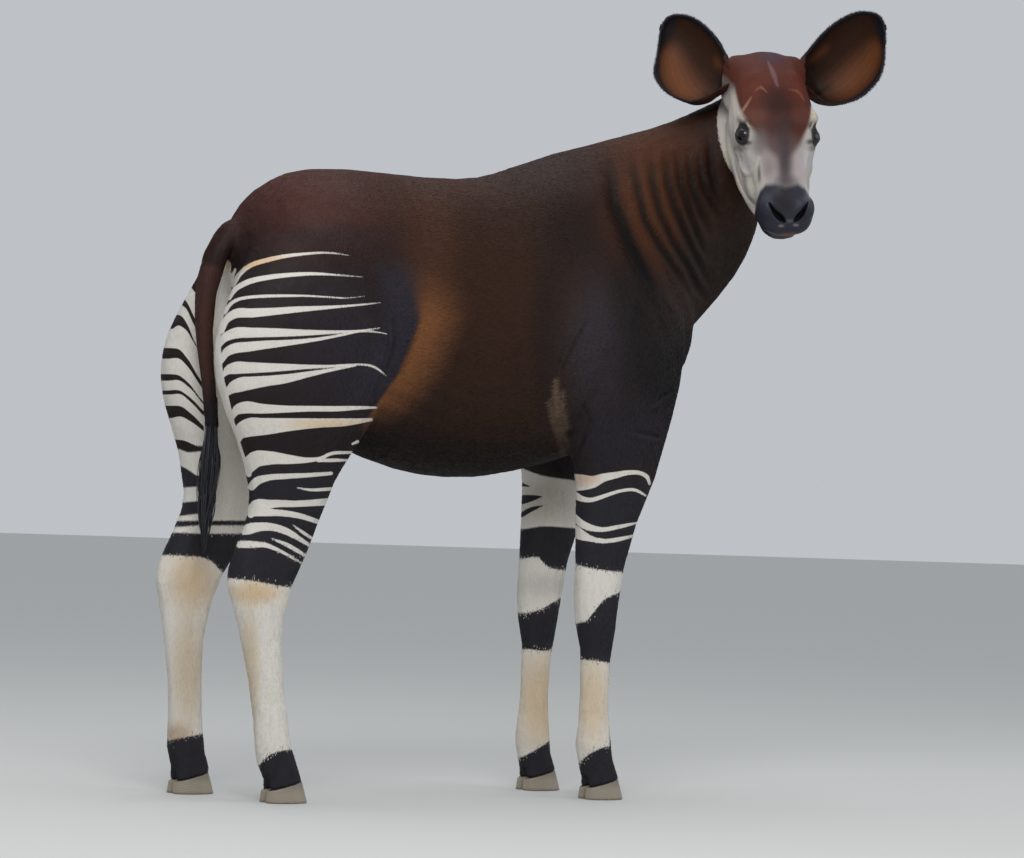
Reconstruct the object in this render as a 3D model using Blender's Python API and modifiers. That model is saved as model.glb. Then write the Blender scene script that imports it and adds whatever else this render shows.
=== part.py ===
"""A standing okapi, life size, its head turned back over its right shoulder.

The body faces +X, its left side is +Y and +Z is up, in metres. Flesh is lofted in parts, fused by a
voxel remesh, smoothed, thinned to few faces and then parted by thin cuts into torso, neck, head, legs
and tail. Ears, eyes, hooves and the tail's tuft are forms of their own that meet the flesh face to face.
"""

import math

import bmesh
import bpy
import numpy as np
from mathutils import Matrix, Vector

# Sizes that drive the fusing, the cuts and the count of faces.
GAP = 0.0003
VOXEL = 0.0042
RING_SIDES = 40
RING_STEP = 0.012
FLESH_TRIANGLES = 5700
FINE_SHARE = 0.02

# Torso rings: place along the body, back height, belly height, half width, the widest level's share
# of the way up from the belly, and how square the upper and lower halves are.
TORSO = (
    (-0.748, 1.278, 1.160, 0.040, 0.50, 2.0, 2.0),
    (-0.728, 1.326, 1.030, 0.100, 0.55, 2.0, 2.0),
    (-0.680, 1.380, 0.930, 0.170, 0.60, 2.0, 2.0),
    (-0.600, 1.424, 0.870, 0.210, 0.62, 2.0, 2.0),
    (-0.500, 1.437, 0.820, 0.230, 0.60, 2.0, 2.0),
    (-0.380, 1.439, 0.775, 0.238, 0.54, 1.9, 2.1),
    (-0.250, 1.438, 0.745, 0.250, 0.47, 1.9, 2.2),
    (-0.120, 1.450, 0.742, 0.255, 0.44, 1.8, 2.2),
    (0.000, 1.492, 0.762, 0.245, 0.43, 1.8, 2.2),
    (0.120, 1.535, 0.795, 0.215, 0.43, 1.7, 2.1),
    (0.220, 1.558, 0.835, 0.186, 0.42, 1.7, 2.1),
    (0.320, 1.530, 0.890, 0.160, 0.42, 1.8, 2.0),
    (0.400, 1.430, 0.950, 0.125, 0.42, 2.0, 2.0),
    (0.455, 1.270, 1.030, 0.075, 0.45, 2.0, 2.0),
)

# Neck rings: nape point, throat point, half width.
NECK = (
    ((0.050, 0.000, 1.490), (0.270, 0.000, 0.980), 0.150),
    ((0.200, 0.000, 1.558), (0.400, 0.000, 1.030), 0.148),
    ((0.300, 0.000, 1.590), (0.478, 0.000, 1.120), 0.128),
    ((0.390, -0.008, 1.621), (0.554, -0.012, 1.205), 0.110),
    ((0.470, -0.030, 1.660), (0.605, -0.035, 1.285), 0.098),
    ((0.526, -0.066, 1.697), (0.636, -0.045, 1.370), 0.090),
    ((0.556, -0.100, 1.732), (0.645, -0.052, 1.450), 0.084),
    ((0.568, -0.124, 1.751), (0.636, -0.066, 1.520), 0.079),
    ((0.574, -0.142, 1.756), (0.616, -0.090, 1.580), 0.072),
)

# Leg rings, from the body down: height, rear edge, front edge, side place and half thickness.
FORE_RIGHT = (
    (1.340, 0.110, 0.250, -0.070, 0.050),
    (1.240, 0.070, 0.330, -0.092, 0.074),
    (1.120, 0.060, 0.396, -0.106, 0.086),
    (1.000, 0.068, 0.386, -0.116, 0.086),
    (0.900, 0.080, 0.362, -0.120, 0.079),
    (0.830, 0.092, 0.343, -0.120, 0.070),
    (0.760, 0.110, 0.322, -0.120, 0.062),
    (0.640, 0.117, 0.272, -0.120, 0.052),
    (0.545, 0.120, 0.247, -0.120, 0.045),
    (0.465, 0.121, 0.234, -0.120, 0.046),
    (0.410, 0.128, 0.228, -0.120, 0.045),
    (0.353, 0.141, 0.222, -0.120, 0.036),
    (0.297, 0.144, 0.218, -0.120, 0.032),
    (0.181, 0.144, 0.222, -0.120, 0.032),
    (0.125, 0.140, 0.229, -0.120, 0.038),
    (0.085, 0.148, 0.236, -0.120, 0.036),
    (0.055, 0.156, 0.246, -0.120, 0.036),
)
HIND_RIGHT = (
    (1.350, -0.640, -0.470, -0.075, 0.050),
    (1.240, -0.735, -0.410, -0.100, 0.088),
    (1.120, -0.800, -0.388, -0.118, 0.108),
    (1.020, -0.833, -0.392, -0.126, 0.108),
    (0.940, -0.830, -0.408, -0.130, 0.102),
    (0.870, -0.806, -0.440, -0.130, 0.094),
    (0.813, -0.778, -0.475, -0.130, 0.084),
    (0.724, -0.745, -0.530, -0.127, 0.070),
    (0.660, -0.735, -0.554, -0.124, 0.058),
    (0.600, -0.750, -0.575, -0.122, 0.050),
    (0.540, -0.773, -0.597, -0.120, 0.046),
    (0.490, -0.781, -0.620, -0.120, 0.046),
    (0.427, -0.761, -0.637, -0.120, 0.042),
    (0.367, -0.744, -0.643, -0.120, 0.036),
    (0.300, -0.726, -0.638, -0.120, 0.033),
    (0.232, -0.711, -0.629, -0.120, 0.032),
    (0.168, -0.701, -0.618, -0.120, 0.034),
    (0.124, -0.696, -0.610, -0.120, 0.038),
    (0.085, -0.688, -0.597, -0.120, 0.036),
    (0.055, -0.674, -0.584, -0.120, 0.037),
)
# How far the left legs stand behind the right ones, at the hoof and at the height they swing from.
FORE_LEFT_BACK = 0.030
HIND_LEFT_BACK = 0.118
FORE_SWING_TOP = 0.95
HIND_SWING_TOP = 1.10

# A foot: where its two claws stand, half the claw's length and width at the top and at the sole,
# and the heights of the hair line above the heel and above the toe.
FEET = {"fore": (0.207, -0.120), "hind": (-0.624, -0.120)}
CLAW_TOP = (0.042, 0.0185)
CLAW_SOLE = (0.051, 0.0205)
CLAW_APART = 0.0205
HAIR_LINE = (0.026, 0.052)

# Tail rings: centre and half thickness, down through the core of its tuft.
TAIL = (
    ((-0.690, 0.0, 1.325), 0.034),
    ((-0.738, 0.0, 1.285), 0.034),
    ((-0.776, 0.0, 1.232), 0.030),
    ((-0.801, 0.0, 1.160), 0.0245),
    ((-0.808, 0.0, 1.080), 0.0205),
    ((-0.800, 0.0, 0.990), 0.0165),
    ((-0.786, 0.0, 0.900), 0.0145),
    ((-0.779, 0.0, 0.845), 0.0150),
    ((-0.778, 0.0, 0.800), 0.0170),
    ((-0.780, 0.0, 0.740), 0.0185),
    ((-0.785, 0.0, 0.670), 0.0150),
    ((-0.789, 0.0, 0.615), 0.0100),
    ((-0.790, 0.0, 0.580), 0.0055),
)
TUFT_TOP = 0.832
# Locks of the tuft: how many, the heights of the highest and lowest root, the heights between which
# their tips end, and the half width and half thickness at the middle of a lock.
LOCKS = 24
LOCK_ROOTS = (0.818, 0.655)
LOCK_TIPS = (0.600, 0.530)
LOCK_HALF = (0.0080, 0.0024)

# The head's own frame: x from the poll to the lips, y to its left, z up out of the face.
HEAD_ORIGIN = Vector((0.5722, -0.146, 1.749))
HEAD_HEADING = math.radians(-110.8)
HEAD_PITCH = math.radians(57.0)
HEAD_TILT = math.radians(2.4)

# Skull with upper muzzle, then the jaw: place along the head, top, bottom, half width, and the rest
# as for the torso.
SKULL = (
    (-0.036, 0.030, -0.060, 0.050, 0.50, 2.0, 2.0),
    (-0.015, 0.062, -0.075, 0.074, 0.50, 2.2, 2.0),
    (0.020, 0.084, -0.088, 0.086, 0.52, 2.3, 2.0),
    (0.070, 0.103, -0.098, 0.091, 0.55, 2.3, 2.0),
    (0.120, 0.112, -0.100, 0.094, 0.58, 2.3, 2.0),
    (0.175, 0.110, -0.100, 0.098, 0.62, 2.3, 2.0),
    (0.225, 0.102, -0.098, 0.099, 0.64, 2.3, 2.0),
    (0.270, 0.088, -0.088, 0.088, 0.60, 2.1, 2.0),
    (0.315, 0.072, -0.074, 0.072, 0.55, 2.1, 2.0),
    (0.355, 0.060, -0.060, 0.063, 0.50, 2.2, 2.2),
    (0.390, 0.052, -0.052, 0.064, 0.46, 2.3, 2.3),
    (0.420, 0.043, -0.047, 0.069, 0.44, 2.3, 2.3),
    (0.445, 0.028, -0.043, 0.066, 0.42, 2.3, 2.3),
    (0.464, 0.008, -0.040, 0.052, 0.42, 2.2, 2.2),
    (0.474, -0.010, -0.034, 0.030, 0.45, 2.0, 2.0),
)
JAW = (
    (0.055, -0.010, -0.095, 0.050, 0.50, 2.0, 2.0),
    (0.090, -0.005, -0.122, 0.080, 0.55, 2.2, 2.0),
    (0.145, 0.000, -0.136, 0.096, 0.60, 2.3, 1.9),
    (0.200, -0.005, -0.134, 0.099, 0.62, 2.2, 1.8),
    (0.260, -0.020, -0.120, 0.092, 0.60, 2.1, 1.8),
    (0.310, -0.030, -0.106, 0.084, 0.58, 2.0, 1.9),
    (0.355, -0.036, -0.096, 0.069, 0.55, 2.1, 2.1),
    (0.400, -0.036, -0.090, 0.053, 0.50, 2.2, 2.2),
    (0.432, -0.038, -0.084, 0.046, 0.50, 2.2, 2.2),
    (0.456, -0.042, -0.072, 0.032, 0.50, 2.0, 2.0),
)
# The hull that parts the head from the neck, in the same columns.
HEAD_HULL = (
    (-0.070, 0.020, -0.050, 0.030, 0.60, 2.0, 2.0),
    (-0.055, 0.085, -0.085, 0.090, 0.65, 2.0, 1.6),
    (-0.020, 0.125, -0.105, 0.140, 0.62, 2.0, 1.5),
    (0.040, 0.150, -0.132, 0.155, 0.58, 2.0, 1.5),
    (0.100, 0.150, -0.156, 0.150, 0.58, 2.0, 1.6),
    (0.200, 0.150, -0.162, 0.150, 0.60, 2.0, 1.8),
    (0.300, 0.130, -0.150, 0.140, 0.60, 2.0, 2.0),
    (0.400, 0.100, -0.130, 0.120, 0.55, 2.0, 2.0),
    (0.500, 0.060, -0.110, 0.090, 0.50, 2.0, 2.0),
    (0.540, 0.010, -0.060, 0.030, 0.50, 2.0, 2.0),
)
# Rounded masses of the head: centre in the head's frame and radii, for the left side.
HEAD_MASSES = (
    ((0.205, 0.074, 0.066), (0.040, 0.026, 0.026)),
    ((0.098, 0.042, 0.081), (0.030, 0.024, 0.028)),
    ((0.165, 0.070, -0.012), (0.095, 0.028, 0.050)),
    ((0.300, 0.056, -0.026), (0.075, 0.024, 0.030)),
    ((0.270, 0.066, -0.006), (0.050, 0.024, 0.024)),
    ((0.424, 0.040, 0.012), (0.034, 0.031, 0.034)),
)

# Eyes in the head's frame, for the left side.
EYE_CENTRE = Vector((0.232, 0.078, 0.042))
EYE_OUT = Vector((0.22, 0.80, 0.56)).normalized()
EYE_RADIUS = 0.0235
EYE_SLIT = (0.0200, 0.0135)

# Ears: where each tip is, which way it points there and which way the cup opens, in the head's frame.
EARS = {
    "ear_right": ((-0.165, -0.234, -0.042), (-0.250, -0.966, -0.040), (0.53, -0.20, 0.83)),
    "ear_left": ((-0.050, 0.304, 0.106), (0.110, 0.953, 0.277), (0.53, -0.08, 0.83)),
}
EAR_LENGTH = 0.240
# The plane where ear meets head, by a point on it and its outward normal, for the left side.
EAR_ROOT = (0.030, 0.086, 0.012)
EAR_ROOT_OUT = (-0.20, 0.98, 0.0)
# Ear rows: share of the length, arc of the cup in degrees, width, how far the middle sits towards
# the lower edge, half thickness.
EAR_ROWS = (
    (-0.06, 300, 0.058, 0.000, 0.0055),
    (0.00, 300, 0.060, 0.000, 0.0055),
    (0.05, 270, 0.080, 0.003, 0.0046),
    (0.12, 222, 0.117, 0.011, 0.0038),
    (0.23, 178, 0.156, 0.018, 0.0030),
    (0.38, 148, 0.184, 0.021, 0.0026),
    (0.54, 132, 0.191, 0.018, 0.0024),
    (0.69, 122, 0.180, 0.013, 0.0022),
    (0.82, 114, 0.153, 0.006, 0.0021),
    (0.91, 108, 0.117, 0.001, 0.0020),
    (0.965, 103, 0.078, -0.004, 0.0018),
    (0.992, 98, 0.040, -0.006, 0.0015),
    (1.00, 96, 0.012, -0.008, 0.0012),
)

# A point on each piece of flesh, by which the cut pieces are told apart.
SEEDS = {
    "torso": (-0.20, -0.26, 1.05),
    "neck": (0.45, -0.12, 1.35),
    "leg_fore_right": (0.18, -0.16, 0.40),
    "leg_fore_left": (0.16, 0.16, 0.40),
    "leg_hind_right": (-0.69, -0.16, 0.40),
    "leg_hind_left": (-0.77, 0.16, 0.40),
    "tail": (-0.82, 0.0, 1.00),
    "tail_tuft": (-0.80, 0.0, 0.70),
}

COLOURS = {
    "torso": (0.115, 0.045, 0.028),
    "neck": (0.095, 0.038, 0.026),
    "head": (0.48, 0.43, 0.39),
    "leg": (0.62, 0.58, 0.52),
    "hoof": (0.30, 0.27, 0.23),
    "ear": (0.150, 0.050, 0.028),
    "eye": (0.012, 0.009, 0.008),
    "tail": (0.075, 0.030, 0.022),
    "tail_tuft": (0.018, 0.015, 0.015),
}
ROUGHNESS = {"eye": 0.08, "hoof": 0.45}


def clear_scene():
    for thing in list(bpy.data.objects):
        bpy.data.objects.remove(thing)


def new_collection(name):
    collection = bpy.data.collections.new(name)
    bpy.context.scene.collection.children.link(collection)
    return collection


def face_outward(mesh):
    shape = bmesh.new()
    shape.from_mesh(mesh)
    bmesh.ops.recalc_face_normals(shape, faces=shape.faces)
    shape.to_mesh(mesh)
    shape.free()


def mesh_object(name, points, faces, collection):
    mesh = bpy.data.meshes.new(name)
    mesh.from_pydata([tuple(p) for p in points], [], faces)
    mesh.update()
    face_outward(mesh)
    made = bpy.data.objects.new(name, mesh)
    collection.objects.link(made)
    return made


def spread(rows, step):
    """Rows of numbers through a smooth curve, about step apart along their first three columns."""
    rows = np.asarray(rows, float)
    gaps = np.linalg.norm(np.diff(rows[:, :3], axis=0), axis=1)
    at = np.concatenate([[0.0], np.cumsum(gaps)])
    slope = np.gradient(rows, at, axis=0)
    fine = np.linspace(0.0, at[-1], max(2, round(at[-1] / step)) + 1)
    which = np.clip(np.searchsorted(at, fine, side="right") - 1, 0, len(at) - 2)
    width = (at[which + 1] - at[which])[:, None]
    t = (fine - at[which])[:, None] / width
    before, after = rows[which], rows[which + 1]
    leave, arrive = slope[which] * width, slope[which + 1] * width
    return (
        (2 * t**3 - 3 * t**2 + 1) * before
        + (t**3 - 2 * t**2 + t) * leave
        + (3 * t**2 - 2 * t**3) * after
        + (t**3 - t**2) * arrive
    )


def rings_object(name, rings, collection):
    """A closed tube through rings of points, each ring an array of the same length."""
    count, sides = len(rings), len(rings[0])
    faces = [
        (
            i * sides + j,
            i * sides + (j + 1) % sides,
            (i + 1) * sides + (j + 1) % sides,
            (i + 1) * sides + j,
        )
        for i in range(count - 1)
        for j in range(sides)
    ]
    faces.append(tuple(reversed(range(sides))))
    faces.append(tuple(range((count - 1) * sides, count * sides)))
    return mesh_object(name, np.reshape(rings, (-1, 3)), faces, collection)


def loft(name, stations, collection, step=RING_STEP, sides=RING_SIDES):
    """A closed tube. A station is a high point, a low point, a half width, the widest level's share
    of the way up, and how square the high and low halves are."""
    rows = spread([(*high, *low, *rest) for high, low, *rest in stations], step)
    high, low = rows[:, 0:3], rows[:, 3:6]
    half, share, square_high, square_low = (rows[:, i, None] for i in range(6, 10))
    centre = low + share * (high - low)
    tall = np.linalg.norm(high - low, axis=1, keepdims=True)
    up = (high - low) / tall
    side = np.cross(up, np.gradient(centre, axis=0))
    side /= np.linalg.norm(side, axis=1, keepdims=True)
    angle = np.linspace(0, 2 * math.pi, sides, endpoint=False)[None, :]
    cos, sin = np.cos(angle), np.sin(angle)
    square = np.where(sin >= 0, square_high, square_low)
    reach = np.where(sin >= 0, tall * (1 - share), tall * share)
    across = half * np.sign(cos) * np.abs(cos) ** (2 / square)
    rise = reach * np.sign(sin) * np.abs(sin) ** (2 / square)
    rings = centre[:, None] + across[..., None] * side[:, None] + rise[..., None] * up[:, None]
    return rings_object(name, rings, collection)


def tube(name, stations, collection, step, sides):
    """A closed tube. A station is a centre, an axis with its half size, and the other half size."""
    ends = [(Vector(c) + a, Vector(c) - a, half, 0.5, 2.0, 2.0) for c, a, half in stations]
    return loft(name, ends, collection, step, sides)


def primitive(name, make, place, collection):
    shape = bmesh.new()
    make(shape)
    mesh = bpy.data.meshes.new(name)
    shape.to_mesh(mesh)
    shape.free()
    mesh.transform(place)
    face_outward(mesh)
    made = bpy.data.objects.new(name, mesh)
    collection.objects.link(made)
    return made


def ball(name, centre, radii, collection, segments=24, rings=16):
    def make(shape):
        bmesh.ops.create_uvsphere(shape, u_segments=segments, v_segments=rings, radius=1.0)

    place = Matrix.Translation(centre) @ Matrix.Diagonal((*radii, 1.0))
    return primitive(name, make, place, collection)


def box(name, centre, axes, sizes, collection):
    """A box whose edges lie along three axes."""

    def make(shape):
        bmesh.ops.create_cube(shape, size=1.0)

    turn = Matrix([Vector(a).normalized() for a in axes]).transposed().to_4x4()
    place = Matrix.Translation(centre) @ turn @ Matrix.Diagonal((*sizes, 1.0))
    return primitive(name, make, place, collection)


def bent_slab(name, path, reach, place, collection):
    """A sheet one gap thick that follows a path of (along, up) points and reaches between two side
    places, laid by a matrix whose columns are along, side and up."""
    path = np.asarray(path, float)
    along = np.gradient(path, axis=0)
    normal = np.stack([-along[:, 1], along[:, 0]], axis=1)
    normal /= np.linalg.norm(normal, axis=1, keepdims=True)
    loop = np.concatenate([path + normal * GAP / 2, (path - normal * GAP / 2)[::-1]])
    points = [place @ Vector((a, y, u)) for y in reach for a, u in loop]
    count = len(loop)
    faces = [(i, (i + 1) % count, count + (i + 1) % count, count + i) for i in range(count)]
    for i in range(len(path) - 1):
        quad = (i, i + 1, count - 2 - i, count - 1 - i)
        faces.append(quad)
        faces.append(tuple(count + k for k in reversed(quad)))
    return mesh_object(name, points, faces, collection)


def head_matrix():
    """From the head's own frame to the body's."""
    level = Vector((math.cos(HEAD_HEADING), math.sin(HEAD_HEADING), 0.0))
    down = Vector((0.0, 0.0, -1.0))
    forward = level * math.cos(HEAD_PITCH) + down * math.sin(HEAD_PITCH)
    up = level * math.sin(HEAD_PITCH) - down * math.cos(HEAD_PITCH)
    turn = Matrix((forward, up.cross(forward), up)).transposed().to_4x4()
    return Matrix.Translation(HEAD_ORIGIN) @ Matrix.Rotation(HEAD_TILT, 4, level) @ turn


def on_side(point, side):
    """A point or direction of the head's left side, or its mirror image for side -1."""
    return Vector((point[0], point[1] * side, point[2]))


def profile_stations(rows):
    """Stations of a form that lies along x: place, top, bottom, half width, share and squareness."""
    return [((x, 0, top), (x, 0, low), *rest) for x, top, low, *rest in rows]


def leg_stations(rows, side, most, swing_top):
    """Stations of a leg: side 1 keeps it right, -1 puts it left, set back towards the hoof."""
    made = []
    for height, rear, front, place, half in rows:
        back = most * max(0.0, 1.0 - height / swing_top)
        y = place * side
        made.append(((front - back, y, height), (rear - back, y, height), half, 0.5, 2.1, 2.1))
    return made


def limbs():
    """Each leg's name, rows, side, how far it stands back and the height it swings from."""
    yield "fore_right", FORE_RIGHT, 1, 0.0, FORE_SWING_TOP
    yield "fore_left", FORE_RIGHT, -1, FORE_LEFT_BACK, FORE_SWING_TOP
    yield "hind_right", HIND_RIGHT, 1, 0.0, HIND_SWING_TOP
    yield "hind_left", HIND_RIGHT, -1, HIND_LEFT_BACK, HIND_SWING_TOP


def foot_place(name, side, most):
    x, y = FEET[name.split("_")[0]]
    return x - most, y * side


def body_forms(collection):
    loft("form_torso", profile_stations(TORSO), collection)
    loft("form_neck", [(nape, throat, half, 0.5, 2.0, 2.0) for nape, throat, half in NECK], collection)
    forward = Vector((1.0, 0.0, 0.0))
    for name, rows, side, most, swing_top in limbs():
        loft("form_" + name, leg_stations(rows, side, most, swing_top), collection)
        foot_x, foot_y = foot_place(name, side, most)
        for claw in (-1, 1):
            y = foot_y + claw * CLAW_APART * 0.9
            digit = (
                ((foot_x - 0.013, y, 0.115), forward * 0.027, 0.0150),
                ((foot_x - 0.006, y, 0.070), forward * 0.036, 0.0185),
                ((foot_x + 0.002, y, 0.030), forward * 0.044, 0.0195),
                ((foot_x + 0.004, y, 0.010), forward * 0.046, 0.0195),
            )
            tube("form_digit", digit, collection, 0.01, 24)
    tube("form_tail", [(c, forward * r, r) for c, r in TAIL], collection, 0.01, 24)


def ear_place(name, t):
    """A point on the ear's middle line, with the axes along it, to its lower edge and out of its cup.
    The line leaves the head square to the root's plane and bends towards the tip."""
    side = 1 if name == "ear_left" else -1
    tip, along, facing = (Vector(v) for v in EARS[name])
    root, out = on_side(EAR_ROOT, side), on_side(EAR_ROOT_OUT, side).normalized()
    reach = (tip - root).length
    leave, arrive = out * reach * 1.0, along.normalized() * reach * 1.0
    point = root * (2 * t**3 - 3 * t**2 + 1) + leave * (t**3 - 2 * t**2 + t)
    point += tip * (3 * t**2 - 2 * t**3) + arrive * (t**3 - t**2)
    slope = (tip - root) * (6 * t - 6 * t**2)
    slope += leave * (3 * t**2 - 4 * t + 1) + arrive * (3 * t**2 - 2 * t)
    slope.normalize()
    facing = (facing - slope * facing.dot(slope)).normalized()
    lower = facing.cross(slope) * -side
    place = head_matrix()
    turn = place.to_3x3()
    return place @ point, turn @ slope, turn @ lower, turn @ facing


def root_box(ear_name, start, end, wide, collection):
    """A box between two distances outward from the plane where an ear meets the head."""
    side = 1 if ear_name == "ear_left" else -1
    out = on_side(EAR_ROOT_OUT, side).normalized()
    up = Vector((0.0, 0.0, 1.0))
    centre = on_side(EAR_ROOT, side) + out * (start + end) / 2
    made = box("cut_root", centre, (out, up.cross(out), up), (end - start, wide, wide), collection)
    made.data.transform(head_matrix())
    return made


def head_forms(collection):
    place = head_matrix()
    for name, rows in (("form_skull", SKULL), ("form_jaw", JAW)):
        made = loft(name, profile_stations(rows), collection, step=0.006)
        made.data.transform(place)
    for centre, radii in HEAD_MASSES:
        for side in (1, -1):
            ball("form_mass", on_side(centre, side), radii, collection).data.transform(place)
    for name in EARS:
        foot, along, _, facing = ear_place(name, 0.0)
        stump = (
            (foot - along * 0.055 - facing * 0.010, facing * 0.038, 0.038),
            (foot, facing * 0.031, 0.031),
            (foot + along * 0.020, facing * 0.030, 0.030),
        )
        tube("form_stump", stump, collection, 0.01, 24)


def evaluated_mesh(thing):
    bpy.context.view_layer.update()
    graph = bpy.context.evaluated_depsgraph_get()
    return bpy.data.meshes.new_from_object(thing.evaluated_get(graph))


def bake(thing):
    """Applies the modifiers of an object to its mesh."""
    thing.data = evaluated_mesh(thing)
    thing.modifiers.clear()
    thing.data.name = thing.name


def fuse(name, pieces, collection, voxel):
    """One closed surface round all the pieces."""
    shape = bmesh.new()
    for piece in pieces:
        shape.from_mesh(piece.data)
    joined = bpy.data.meshes.new(name)
    shape.to_mesh(joined)
    shape.free()
    made = bpy.data.objects.new(name, joined)
    collection.objects.link(made)
    remesh = made.modifiers.new("Remesh", "REMESH")
    remesh.mode = "VOXEL"
    remesh.voxel_size = voxel
    bake(made)
    for piece in pieces:
        bpy.data.objects.remove(piece)
    return made


def points_of(mesh):
    points = np.empty(len(mesh.vertices) * 3)
    mesh.vertices.foreach_get("co", points)
    return points.reshape(-1, 3)


def put_points(mesh, points):
    mesh.vertices.foreach_set("co", np.asarray(points, np.float32).ravel())
    mesh.update()


def edges_of(mesh):
    edges = np.empty(len(mesh.edges) * 2, np.int32)
    mesh.edges.foreach_get("vertices", edges)
    return edges.reshape(-1, 2)


def ramp(low, high, value):
    t = np.clip((value - low) / (high - low), 0.0, 1.0)
    return t * t * (3 - 2 * t)


def head_share(points):
    """1 on the head, 0 well away from it."""
    local = (points - np.array(HEAD_ORIGIN)) @ np.array(head_matrix().to_3x3())
    inside = ramp(-0.22, -0.12, local[:, 2]) * ramp(-0.16, -0.10, local[:, 0])
    near = 1 - ramp(0.16, 0.24, np.abs(local[:, 1]))
    return inside * near * ramp(1.2, 1.3, points[:, 2])


def soften(mesh, rounds, strength):
    """Smooths each point towards its neighbours, more where its strength is higher."""
    points, edges = points_of(mesh), edges_of(mesh)
    count = len(points)
    valence = np.bincount(edges.ravel(), minlength=count)[:, None]
    pull = strength(points)[:, None]
    for _ in range(rounds):
        total = np.zeros_like(points)
        for axis in range(3):
            total[:, axis] = np.bincount(edges[:, 0], points[edges[:, 1], axis], count)
            total[:, axis] += np.bincount(edges[:, 1], points[edges[:, 0], axis], count)
        points += pull * (total / valence - points)
    put_points(mesh, points)


def flesh_strength(points):
    """Strong smoothing on the trunk, where the forms run into each other, and little elsewhere."""
    trunk = ramp(0.62, 0.90, points[:, 2])
    tail = ramp(-0.74, -0.78, points[:, 0]) * (np.abs(points[:, 1]) < 0.05)
    return 0.06 + 0.54 * trunk * (1 - tail) * (1 - head_share(points))


def shape_lids(mesh):
    """Draws the flesh close round each eyeball."""
    points = points_of(mesh)
    place = head_matrix()
    for side in (1, -1):
        offset = points - np.array(place @ on_side(EYE_CENTRE, side))
        far = np.maximum(np.linalg.norm(offset, axis=1), 1e-6)
        facing = offset @ np.array(place.to_3x3() @ on_side(EYE_OUT, side)) / far
        near = ramp(0.45, 0.85, facing) * (1 - ramp(0.040, 0.055, far))
        points += offset * (near * ((EYE_RADIUS + 0.0042) / far - 1))[:, None]
    put_points(mesh, points)


def thin(thing, triangles):
    """Collapses edges down to a count of triangles, keeping more of them on the head and eyes."""
    points = points_of(thing.data)
    share = head_share(points) * 0.45
    for side in (1, -1):
        far = np.linalg.norm(points - np.array(head_matrix() @ on_side(EYE_CENTRE, side)), axis=1)
        share += 0.55 * (1 - ramp(0.03, 0.05, far))
    group = thing.vertex_groups.new(name="coarse")
    steps = np.round((1 - share) * 10).astype(int)
    for step in range(1, 11):
        group.add(np.flatnonzero(steps == step).tolist(), step / 10, "REPLACE")
    decimate = thing.modifiers.new("Decimate", "DECIMATE")
    thing.data.calc_loop_triangles()
    decimate.ratio = triangles / len(thing.data.loop_triangles)
    decimate.use_collapse_triangulate = True
    decimate.vertex_group = group.name
    decimate.vertex_group_factor = FINE_SHARE
    bake(thing)
    thing.vertex_groups.clear()


def combine(thing, operation, others):
    """Applies one Boolean with every object of a list, then removes those objects."""
    group = bpy.data.collections.new("cut")
    for other in others:
        group.objects.link(other)
    boolean = thing.modifiers.new("Boolean", "BOOLEAN")
    boolean.operation = operation
    boolean.operand_type = "COLLECTION"
    boolean.collection = group
    boolean.solver = "EXACT"
    bake(thing)
    for other in others:
        bpy.data.objects.remove(other)
    bpy.data.collections.remove(group)


def tidy(mesh):
    """Splits the faces into triangles and closes up the tiny edges that a cut leaves."""
    shape = bmesh.new()
    shape.from_mesh(mesh)
    bmesh.ops.triangulate(shape, faces=shape.faces)
    bmesh.ops.dissolve_degenerate(shape, edges=shape.edges, dist=1e-6)
    shape.to_mesh(mesh)
    shape.free()


def hair_line_height(x, foot_x):
    """Height of the line where hair meets hoof, rising towards the toe."""
    low, high = HAIR_LINE
    heel, toe = foot_x - 0.045, foot_x + 0.050
    return low + (high - low) * (x - heel) / (toe - heel)


def hull_shell(collection):
    """A closed sheet one gap thick round the whole head."""
    hull = loft("cut_head", profile_stations(HEAD_HULL), collection, step=0.03, sides=28)
    shape = bmesh.new()
    shape.from_mesh(hull.data)
    shape.normal_update()
    copy = bmesh.ops.duplicate(shape, geom=shape.verts[:] + shape.faces[:])
    for vert in (v for v in copy["geom"] if isinstance(v, bmesh.types.BMVert)):
        vert.co -= vert.normal * GAP
    bmesh.ops.reverse_faces(shape, faces=[f for f in copy["geom"] if isinstance(f, bmesh.types.BMFace)])
    shape.to_mesh(hull.data)
    shape.free()
    hull.data.transform(head_matrix())


def body_cutters(collection):
    world = Matrix.Identity(4)
    neck = ((0.06, 1.733), (0.30, 1.344), (0.53, 0.971))
    bent_slab("cut_neck", neck, (-0.30, 0.30), world, collection)
    hull_shell(collection)
    for reach in ((-0.28, -0.015), (0.015, 0.28)):
        bent_slab("cut_fore", ((0.062, 0.774), (0.20, 0.774), (0.38, 0.774)), reach, world, collection)
        bent_slab("cut_hind", ((-0.95, 0.79), (-0.60, 0.79), (-0.445, 0.79)), reach, world, collection)
    root = ((-0.850, 1.212), (-0.790, 1.192), (-0.757, 1.181))
    bent_slab("cut_tail", root, (-0.050, 0.050), world, collection)
    tuft = ((-0.82, TUFT_TOP), (-0.78, TUFT_TOP), (-0.74, TUFT_TOP))
    bent_slab("cut_tuft", tuft, (-0.04, 0.04), world, collection)
    for name, _, side, most, _ in limbs():
        foot_x, foot_y = foot_place(name, side, most)
        rear, front = foot_x - 0.12, foot_x + 0.12
        profile = (
            (rear, hair_line_height(rear, foot_x)),
            (front, hair_line_height(front, foot_x)),
            (front, -0.05),
            (rear, -0.05),
        )
        rings = [[(x, foot_y + y, z) for x, z in profile] for y in (-0.08, 0.08)]
        rings_object("cut_foot", np.array(rings), collection)


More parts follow.
